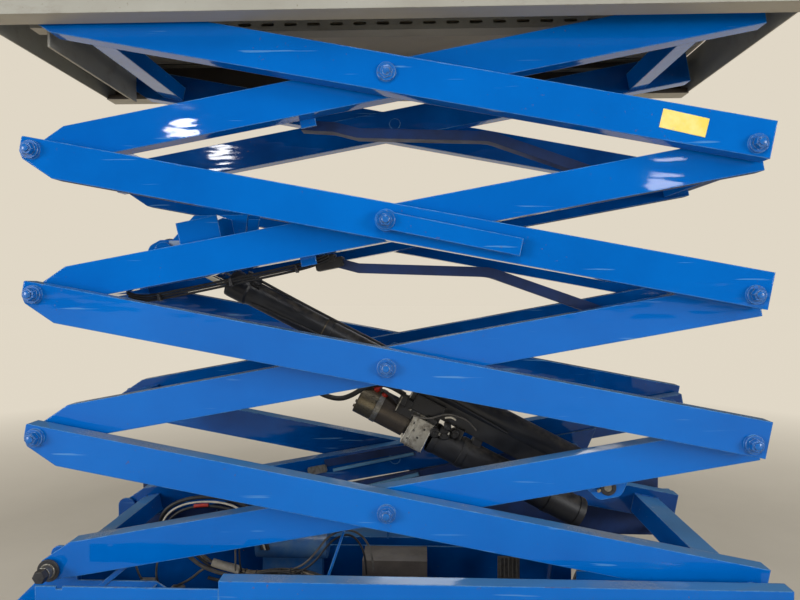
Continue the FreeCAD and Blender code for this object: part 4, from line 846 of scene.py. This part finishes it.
def addBarrelTrim():
    far, gland, body = barrelTrim["far"], barrelTrim["gland"], barrelTrim["radius"]

    def rounding(mesh):
        unitLathe(mesh, [(0.0285, 0.0015), (gland - 0.016, 0.0015), (gland - 0.006, -0.001),
                         (gland + 0.0008, -0.009), (gland + 0.0008, -0.0705),
                         (body + 0.001, -0.0765)], (far, 0, 0), (1, 0, 0), barrelTrim["sides"])
        for back, y, rise, size in glandPorts:
            along, neck = far - back, size * 0.7
            unitLathe(mesh, [(0, 0), (size, 0), (size, 0.012), (neck, 0.016), (neck, 0.026),
                             (0, 0.026)], (along, y, rise + 0.012), (0, -0.3, -1), 20)
            unitSlab(mesh, (along - size, y - size, rise + 0.004),
                     (along + size, y + size, rise + 0.016), 0.003)
    piece("glandTrim", rounding, "cylinder", "barrelPaint")

    wide, outer = barrelTrim["clampWide"], body + 0.0035
    unitTurning("barrelClamp", [(body, 0), (outer, 0.0006), (outer, wide), (body, wide)],
                (barrelTrim["clampAt"], 0, 0), (1, 0, 0), barrelTrim["sides"], "cylinder",
                "capSteel", "valve_metal")

    def bands(mesh):
        drop, sides = tankBands["drop"], tankBands["sides"]
        for along in tankBands["along"]:
            unitLathe(mesh, [(0.05, 0), (0.0526, 0.0006), (0.0526, 0.0196), (0.05, 0.0202)],
                      (along, 0, drop), (1, 0, 0), sides)
        unitLathe(mesh, [(0.026, -0.004), (0.038, 0), (0.0474, 0.006), (0.0506, 0.014),
                         (0.0506, 0.02)], (tankBands["endAt"], 0, drop), (-1, 0, 0), sides)
    piece("tankBands", bands, "cylinder", "tankPlastic")
    start = [(far - back, barrelTrim["pipeY"], rise) for back, rise in pipeStart]
    unitHose("barrelPipe", [*start, *pipeEnd], barrelTrim["pipeRadius"], "cylinder", "blackPaint",
             "barrel_paint")
    unitHose("barrelLine", barrelLine, barrelTrim["lineRadius"], "cylinder", "darkSteel",
             "valve_metal")
    unitHose("returnHose", returnHose, 0.0085, "cylinder")


# Hoses clipped under the third inner arms, with the clip plates that hold them

armHoses = {"from": 0.235, "to": 0.8, "ups": (-0.0625, -0.0705, -0.0785), "y": -0.194,
            "radius": 0.0038, "step": 0.006, "clips": (0.3, 0.53, 0.74)}
hoseBracket = metres([((800, -176, -92), (888, -120, -60)), ((806, -180, -70), (866, -130, -48))])


def addArmHoses():
    arm, start, end = armFrame("inner", 3), armHoses["from"], armHoses["to"]
    for number, up in enumerate(armHoses["ups"]):
        y = armHoses["y"] + armHoses["step"] * number
        hose(f"armHose_{number + 1}", [
            (start - 0.03, y, up + 0.03), (start, y, up + 0.006), (start + 0.06, y, up),
            (0.42, y, up - 0.001), (0.6, y, up), (end - 0.08, y, up + 0.001),
            (end, y, up + 0.004), (end + 0.05, y - 0.002, up + 0.016)],
             armHoses["radius"], "inner_3", frame=arm)

    y = armHoses["y"]
    slabs("armHoseClips", [((along, y - 0.005, -0.0845), (along + 0.008, y + 0.017, -0.0585))
                           for along in armHoses["clips"]],
          0.001, "inner_3", "darkSteel", "bridge_steel", arm)
    slabs("hoseBracket", hoseBracket, 0.003, "inner_3", "blackPaint", "bridge_steel", arm)


# Harness and hoses in the open chassis, held by ties; all ends go into a housing

loomRuns = [
    # name, radius, look, points as (x, z, y) in millimetres
    ("loomMain", 0.0052, "loomSleeve", [
        (-640, 600, -130), (-607, 566, -120), (-580, 541, -120), (-548, 530, -120),
        (-510, 524, -120), (-472, 513, -120), (-430, 500, -120), (-360, 503, -120),
        (-289, 506, -120), (-240, 498, -120), (-197, 485, -120), (-140, 460, -110),
        (-100, 420, -100)]),
    ("loomSecond", 0.0062, "cableSheath", [
        (-655, 580, -130), (-620, 550, -132), (-585, 525, -134), (-540, 507, -134),
        (-490, 495, -134), (-440, 484, -134), (-370, 486, -134), (-300, 490, -134),
        (-250, 480, -132), (-200, 462, -130), (-150, 440, -120)]),
    ("loomThird", 0.0052, "hoseRubber", [
        (-560, 490, -140), (-520, 479, -142), (-470, 481, -142), (-420, 497, -140),
        (-370, 512, -138), (-310, 512, -138), (-270, 500, -136), (-230, 480, -130)]),
    ("loomRise", 0.0034, "cableSheath", [
        (-330, 500, -126), (-289, 512, -124), (-250, 530, -122), (-223, 556, -120),
        (-198, 588, -120), (-175, 618, -120), (-138, 640, -120), (-102, 644, -120),
        (-68, 630, -118), (-42, 596, -114), (-30, 550, -108), (-26, 500, -100)]),
    ("loomRiseTwin", 0.0034, "hoseRubber", [
        (-320, 490, -130), (-280, 502, -128), (-240, 520, -126), (-210, 546, -124),
        (-186, 578, -124), (-163, 606, -124), (-132, 626, -124), (-102, 630, -122),
        (-78, 612, -120), (-60, 580, -116), (-52, 540, -110), (-50, 490, -100)]),
    ("wireLeft", 0.0034, "cableSheath", [
        (-808, 570, -150), (-790, 526, -150), (-782, 500, -150), (-768, 478, -150),
        (-752, 462, -150), (-737, 448, -150), (-730, 410, -150)]),
    ("wireRight", 0.0034, "cableSheath", [
        (-716, 575, -150), (-723, 534, -150), (-726, 505, -150), (-722, 482, -150),
        (-714, 462, -150), (-708, 440, -150), (-706, 410, -150)]),
    ("wireDiagonal", 0.0042, "cableSheath", [
        (-535, 528, -125), (-560, 522, -126), (-590, 505, -126), (-618, 480, -126),
        (-650, 462, -126), (-685, 446, -126), (-715, 430, -126)]),
    ("farCable", 0.0068, "hoseRubber", [
        (-790, 560, 30), (-784, 605, 10), (-768, 643, 0), (-738, 672, 0), (-690, 692, 0),
        (-630, 702, 0), (-560, 700, 0), (-500, 684, 0), (-450, 650, 0), (-420, 590, 0),
        (-400, 520, 0)]),
    ("farCableTwin", 0.0036, "paleTube", [
        (-780, 555, 20), (-773, 600, 0), (-756, 634, -8), (-726, 662, -9), (-682, 681, -10),
        (-630, 689, -10), (-560, 688, -10), (-500, 670, -10), (-460, 630, -8), (-430, 570, 0),
        (-410, 520, 0)]),
    ("farCableThird", 0.0048, "hoseRubber", [
        (-765, 550, 20), (-758, 594, 0), (-742, 624, -12), (-712, 650, -14), (-674, 668, -16),
        (-628, 676, -16), (-560, 674, -16), (-500, 656, -14), (-470, 620, -10), (-440, 570, 0),
        (-420, 520, 0)]),
    ("dropLeft", 0.003, "cableSheath", [
        (-468, 640, -152), (-467, 600, -152), (-466, 565, -152), (-467, 535, -150),
        (-470, 515, -140)]),
    ("dropRight", 0.003, "hoseRubber", [
        (-455, 640, -152), (-454, 600, -152), (-453, 565, -152), (-452, 535, -150),
        (-450, 515, -140)]),
]
# x, z, y and reach of each tie
loomTies = metres([(-440, 498, -128, 17), (-405, 494, -130, 17.5), (-368, 495, -130, 17.5),
                   (-330, 499, -130, 17.5), (-293, 502, -128, 18), (-255, 497, -128, 17.5)])
# strands twisted round the main run: look, radius, reach from its line, turns, start angle
loomStrands = [("cableSheath", 0.0042, 0.0105, 1.4, 0.3), ("hoseRubber", 0.0044, 0.0115, 1.1, 2.1),
               ("loomSleeve", 0.0038, 0.0105, 1.7, 3.9), ("hoseRubber", 0.0034, 0.0135, 2.2, 5.2)]
looseEnds = [
    ("loomSleeveThick", 0.0135, "paleBlock", [
        (-552, 530, -120), (-525, 522, -120), (-490, 514, -120), (-462, 506, -120)]),
    ("redTip", 0.0062, "redRubber", [
        (-650, 676, -18), (-636, 678, -19), (-620, 680, -19), (-600, 680, -19)]),
]
loomConnectors = metres([((-778, -165, 446), (-728, -135, 486)),
                         ((-688, -142, 424), (-645, -112, 452))])


def addRuns(runs):
    for name, radius, look, points in runs:
        hose(name, [(x, y, z) for x, z, y in metres(points)], radius, "chassis", look)


def addLooms():
    addRuns(loomRuns)
    middle = metres(loomRuns[0][-1])
    for number, (look, radius, reach, turns, start) in enumerate(loomStrands):
        points = []
        for step, (x, z, y) in enumerate(middle):
            angle = start + turns * 2 * math.pi * step / (len(middle) - 1)
            points.append((x, y + math.cos(angle) * reach * 0.8,
                           z - 0.004 + math.sin(angle) * reach))
        hose(f"loomStrand_{number + 1}", points, radius, "chassis", look)
    addRuns(looseEnds)

    def ties(mesh):
        wide = 0.0022
        for x, z, y, reach in loomTies:
            inner = reach - 0.0015
            lathe(mesh, [(inner, -wide), (reach, -wide), (reach, wide), (inner, wide)], (x, y, z),
                  (1, 0, -0.08), 24)
    piece("loomTies", ties, "chassis", "blackPaint")
    slabs("loomConnectors", loomConnectors, 0.003, "chassis", "paleBlock", "box_plastic")


# Small brackets in the open chassis, and plain strips, webs and shields at the far arms

shieldPlates = metres([((300, 340, 450), (1060, 344, 680)), ((-1000, 340, 450), (-300, 344, 700))])
farLedges = [((-0.207, 0.2105, 0.739), (0.1, 0.2105, 0.806), 0.012),
             ((-0.118, 0.193, 0.674), (0.118, 0.193, 0.735), 0.014)]
ribbedBracket = {"first": 0.41, "step": 0.0145, "ribs": 5, "wide": 0.006}
# in the first inner arm's frame
# the far web's dark navy is painted shade
farPlates = [("farWeb", "shieldPaint", (0.66, 0.196, -0.125), (1.52, 0.2149, -0.055), 0.002),
             ("farClevis", "zincSteel", (0.716, 0.203, 0.0), (0.79, 0.2149, 0.03), 0.004)]


def strip(mesh, start, end, low, high, soften=0.001):
    # a flat bar along a line: its corners' x counts from the line's two ends
    line = Vector(end) - Vector(start)
    along = line.normalized()
    slab(mesh, low, (line.length + high[0], *high[1:]), soften,
         pinFrame(Vector(start), along, Vector((-along.z, 0, along.x))))


def addChassisExtras():
    def diagonal(mesh):
        start = Vector((-0.884, -0.211, 0.484))
        strip(mesh, start, start + Vector((0.074, 0, 0.061)).normalized() * 0.12,
              (-0.05, -0.003, -0.008), (0, 0.003, 0.008))
    piece("diagonalStrip", diagonal, "chassis", "chassisPaint")

    def ribbed(mesh):
        slab(mesh, (0.402, 0.1, 0.3), (0.481, 0.106, 0.464), 0.001)
        for rib in range(ribbedBracket["ribs"]):
            x = ribbedBracket["first"] + rib * ribbedBracket["step"]
            slab(mesh, (x, 0.094, 0.31), (x + ribbedBracket["wide"], 0.101, 0.46), 0.002)
    piece("ribbedBracket", ribbed, "chassis", "cableSheath")

    # the shields' dark navy is painted shade
    slabs("armShields", shieldPlates, 0.001, "chassis", "shieldPaint", "chassis_paint")

    def gusset(mesh):
        strip(mesh, (-0.178, -0.14, 0.489), (-0.129, -0.14, 0.632), (-0.03, -0.004, -0.009),
              (0.02, 0.004, 0))
    piece("gussetEdge", gusset, "chassis", "chassisPaint")

    def ledges(mesh):
        for start, end, high in farLedges:
            strip(mesh, start, end, (0, -0.003, -high), (0, 0.004, 0))
    piece("farLedges", ledges, "inner_1", "ledgePaint")

    # the far recess strip is dark navy: painted shade
    def recess(mesh):
        strip(mesh, (-0.24, 0.213, 0.772), (0.11, 0.213, 0.838), (0, -0.001, -0.028),
              (0, 0.0016, 0), 0.0004)
    piece("farRecess", recess, "inner_1", "shieldPaint")
    for name, look, low, high, soften in farPlates:
        slabs(name, [(low, high)], soften, "inner_1", look, "stack_paint", armFrame("inner", 1))


# Small fittings: bolts, wheel nuts, tread grooves, latches and the controls' trim

railBolts = {"posts": (-1.113, -1.13 + 2.29 / 3, -1.13 + 2.29 * 2 / 3, 1.143),
             "rises": (0.045, 0.11, 0.55, 1.084), "scale": 0.4, "thin": 0.55}
edgeBolts = {"gaps": 8, "margin": 0.06, "drop": 0.028, "scale": 0.34, "thin": 0.5}


def addRailBolts():
    def rails(mesh):
        low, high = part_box("side_rails")
        for side, face in ((-1, low.y), (1, high.y)):
            for x in railBolts["posts"]:
                for rise in railBolts["rises"]:
                    nutAt(mesh, (x, face - side * seat, deckTop + rise), (0, side, 0), x + rise,
                          railBolts["scale"], railBolts["thin"])
    piece("railBolts", rails, "platform", "zincSteel")

    def edges(mesh):
        low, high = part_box("platform_sides")
        gap = (high.x - low.x - 2 * edgeBolts["margin"]) / edgeBolts["gaps"]
        for side, face in ((-1, low.y), (1, high.y)):
            for step in range(edgeBolts["gaps"] + 1):
                nutAt(mesh, (low.x + edgeBolts["margin"] + step * gap, face - side * seat,
                             high.z - edgeBolts["drop"]), (0, side, 0), step,
                      edgeBolts["scale"], edgeBolts["thin"])
    piece("edgeBolts", edges, "platform", "platformPaint")


tyreLook = {"width": 0.127, "radius": 0.19, "rim": 0.134, "wall": 0.146, "round": 0.017,
            "turns": (20, 45, 70, 90), "sides": 72, "grooves": (-0.026, 0.026),
            "grooveWide": 0.009, "grooveDeep": 0.006, "lugs": 36}
rimNuts = {"count": 5, "ring": 0.082, "out": 0.014, "scale": 0.5, "capRadius": 0.03,
           "capIn": 0.0225}


def tyreRows():
    half, radius, bend = tyreLook["width"] / 2, tyreLook["radius"], tyreLook["round"]
    shoulder = [(radius - bend * (1 - math.sin(turn)), half - bend * (1 - math.cos(turn)))
                for turn in map(math.radians, tyreLook["turns"])]
    wall = [(tyreLook["rim"], half), (tyreLook["wall"], half), (radius - bend, half)] + shoulder
    rows = [(across, -along) for across, along in wall]
    wide, floor = tyreLook["grooveWide"] / 2, radius - tyreLook["grooveDeep"]
    for middle in tyreLook["grooves"]:
        rows += [(radius, middle - wide), (floor, middle - wide * 0.5),
                 (floor, middle + wide * 0.5), (radius, middle + wide)]
    return rows + wall[::-1]


def addWheels():
    half, radius, rows = tyreLook["width"] / 2, tyreLook["radius"], tyreRows()
    for name in ("front_right", "front_left", "rear_right", "rear_left"):
        low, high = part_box(f"tyre_{name}")
        centre = (low + high) / 2
        outward = 1 if centre.y > 0 else -1

        def tyre(mesh):
            lathe(mesh, rows, centre, (0, 1, 0), tyreLook["sides"])
            for lug in range(tyreLook["lugs"]):
                turn = Matrix.Rotation(2 * math.pi * lug / tyreLook["lugs"], 4, "Y")
                for side in (-1, 1):
                    slab(mesh, (-0.004, side * (half - 0.004), radius - 0.026),
                         (0.004, side * (half + 0.0012), radius - 0.014), 0.001,
                         Matrix.Translation(centre) @ turn)
        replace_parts(piece(f"tyreTread_{name}", tyre, f"wheel_{name}", "tyreRubber"),
                    f"tyre_{name}")

        def nuts(mesh):
            for step in range(rimNuts["count"]):
                turn = 2 * math.pi * step / rimNuts["count"]
                spot = Vector((math.cos(turn) * rimNuts["ring"], outward * rimNuts["out"],
                               math.sin(turn) * rimNuts["ring"]))
                nutAt(mesh, centre + spot, (0, outward, 0), step, rimNuts["scale"])
            wide = rimNuts["capRadius"]
            lathe(mesh, [(0, 0.012), (wide * 0.7, 0.011), (wide, 0.004), (wide, 0)],
                  (centre.x, centre.y + outward * (half - rimNuts["capIn"]), centre.z),
                  (0, outward, 0), 32)
        piece(f"wheelNuts_{name}", nuts, f"wheel_{name}", "zincSteel")


# x, out from the tray's face, z; softening
latchPlates = [((0.355, -0.0005, 0.335), (0.445, 0.002, 0.385), 0.0008),
               ((0.37, 0.001, 0.353), (0.44, 0.0036, 0.367), 0.001)]


def addLatches():
    for name, side in (("right", -1), ("left", 1)):
        low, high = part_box(f"tray_{name}")
        face = low.y if side < 0 else high.y

        def build(mesh):
            for start, end, soften in latchPlates:
                near, far = sorted((face + side * start[1], face + side * end[1]))
                slab(mesh, (start[0], near, start[2]), (end[0], far, end[2]), soften)
        piece(f"trayLatch_{name}", build, f"tray_{name}", "darkSteel")


# stop buttons and the stick's boot as (radius, along) outlines; the boot's rings as (rise, radius)
stopCap = metres([(17.5, -1), (19.5, 3), (19.5, 12), (16, 17.5), (0, 19)])
groundCap = metres([(17.5, 0), (18.5, 2), (18.5, 9.5), (0, 9.5)])
switchStem = metres([(8, 0), (8, 4), (3.2, 5), (4.5, 20), (0, 21)])
bootRings = metres([(0, 34), (8, 28), (16, 31), (24, 22), (32, 25), (40, 14.5)])
station = {"topDrop": 0.078, "along": 0.1, "stopIn": 0.03, "switches": (-0.07, -0.045)}


def addControls():
    low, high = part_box("control_station")
    x, y, top = low.x + station["along"], (low.y + high.y) / 2, high.z - station["topDrop"]
    ground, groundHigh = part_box("ground_control")

    turning("stationStop", stopCap, (x, high.y - station["stopIn"], top), (0, 0, 1), 32,
            "extension", "redRubber", "control_plastic")

    def dark(mesh):
        for rise, size in bootRings:
            lathe(mesh, [(0.009, 0), (size, 0), (size * 0.8, 0.008), (0.009, 0.008)],
                  (x, y, top + rise), (0, 0, 1), 28)
        for across in station["switches"]:
            lathe(mesh, switchStem, (x, y + across, top), (0, 0.15, 1), 16)
    piece("stationBoot", dark, "extension", "hoseRubber")

    turning("groundStop", groundCap, (ground.x + 0.0095, ground.y + 0.034,
                                      (ground.z + groundHigh.z) / 2), (-1, 0, 0), 32, "chassis",
            "redRubber", "control_plastic")


# Weld beads where the cross tubes and the low hangers meet the arms

def bead(mesh, start, end, radius, frame, seed):
    start, end = Vector(start), Vector(end)
    count = max(4, int((end - start).length / (radius * 1.1)))
    side = (end - start).normalized()
    for step in range(count + 1):
        wobble = math.sin(seed + step * 2.4) * radius * 0.12
        lathe(mesh, [(0, -radius * 0.9), (radius * 0.8, -radius * 0.5), (radius + wobble, 0),
                     (radius * 0.8, radius * 0.5), (0, radius * 0.9)],
              start.lerp(end, step / count), side, 10, 0, frame)


beadRadius = 0.0034
crossWelds = [
    # arm pair, stage, half reach, along range, up at the tube's top and bottom
    ("inner", 1, 0.2147, (0.074, 0.134), (0.038, -0.022)),
    ("inner", 2, 0.2147, (0.074, 0.134), (0.04, -0.02)),
    ("inner", 3, 0.2147, (0.03, 0.09), (0.038, -0.022)),
    ("inner", 4, 0.2147, (0.074, 0.134), (0.04, -0.02)),
    ("outer", 1, 0.2747, (1.977, 2.067), (0.043, -0.027)),
    ("outer", 4, 0.2747, (0.1405, 0.2195), (-0.003, -0.053)),
]


def addWelds():
    for kind, stage, half, (start, end), ups in crossWelds:
        def build(mesh):
            for side in (-1, 1):
                y = side * (half - 0.001)
                for up in ups:
                    bead(mesh, (start, y, up), (end, y, up), beadRadius, armFrame(kind, stage),
                         stage + side)
        piece(f"crossWelds_{kind}_{stage}", build, f"{kind}_{stage}", "weldPaint")


lowPin = {"armFace": 0.2147, "bore": 0.013, "radius": 0.024, "out": 0.006, "rim": 0.002,
          "heart": (0.0125, 0.004)}


def addLowPin():
    spot, face = Vector(joints["cylinder_swing"]["pos_m"]), lowPin["armFace"]
    bore, radius, out, rim = (lowPin[name] for name in ("bore", "radius", "out", "rim"))
    ring = [(bore, 0.001), (bore, out), (radius - rim, out), (radius, out - rim), (radius, -0.001)]
    pinEnds("lowPinEnds", [ring], spot, face, 36, "inner_1", "darkSteel")
    pinEnds("lowPinHearts", [disc(*lowPin["heart"])], spot, face, 24, "inner_1", "zincSteel")
    turning("greaseNipple", [(0.0055, 0), (0.0055, 0.006), (0.003, 0.008), (0.0045, 0.014),
                             (0, 0.017)], (spot.x - 0.026, -0.2165, spot.z - 0.008),
            (-0.5, -1, 0.1), 12, "inner_1", "tanPaint", "stack_paint")


print("frame loaded")
addCamera()
addStudio()
print("camera and light set")
dressNodes()
print("nodes painted")
addPivots()
addLowestPins()
addPlates()
print("pivots and plates added")
addPowerUnit()
addValveFace()
addBarrelTrim()
print("cylinder and power unit trimmed")
addArmHoses()
addLooms()
addChassisExtras()
print("hoses and harness laid")
addRailBolts()
addWheels()
addLatches()
addControls()
addWelds()
addLowPin()
print("small fittings added")
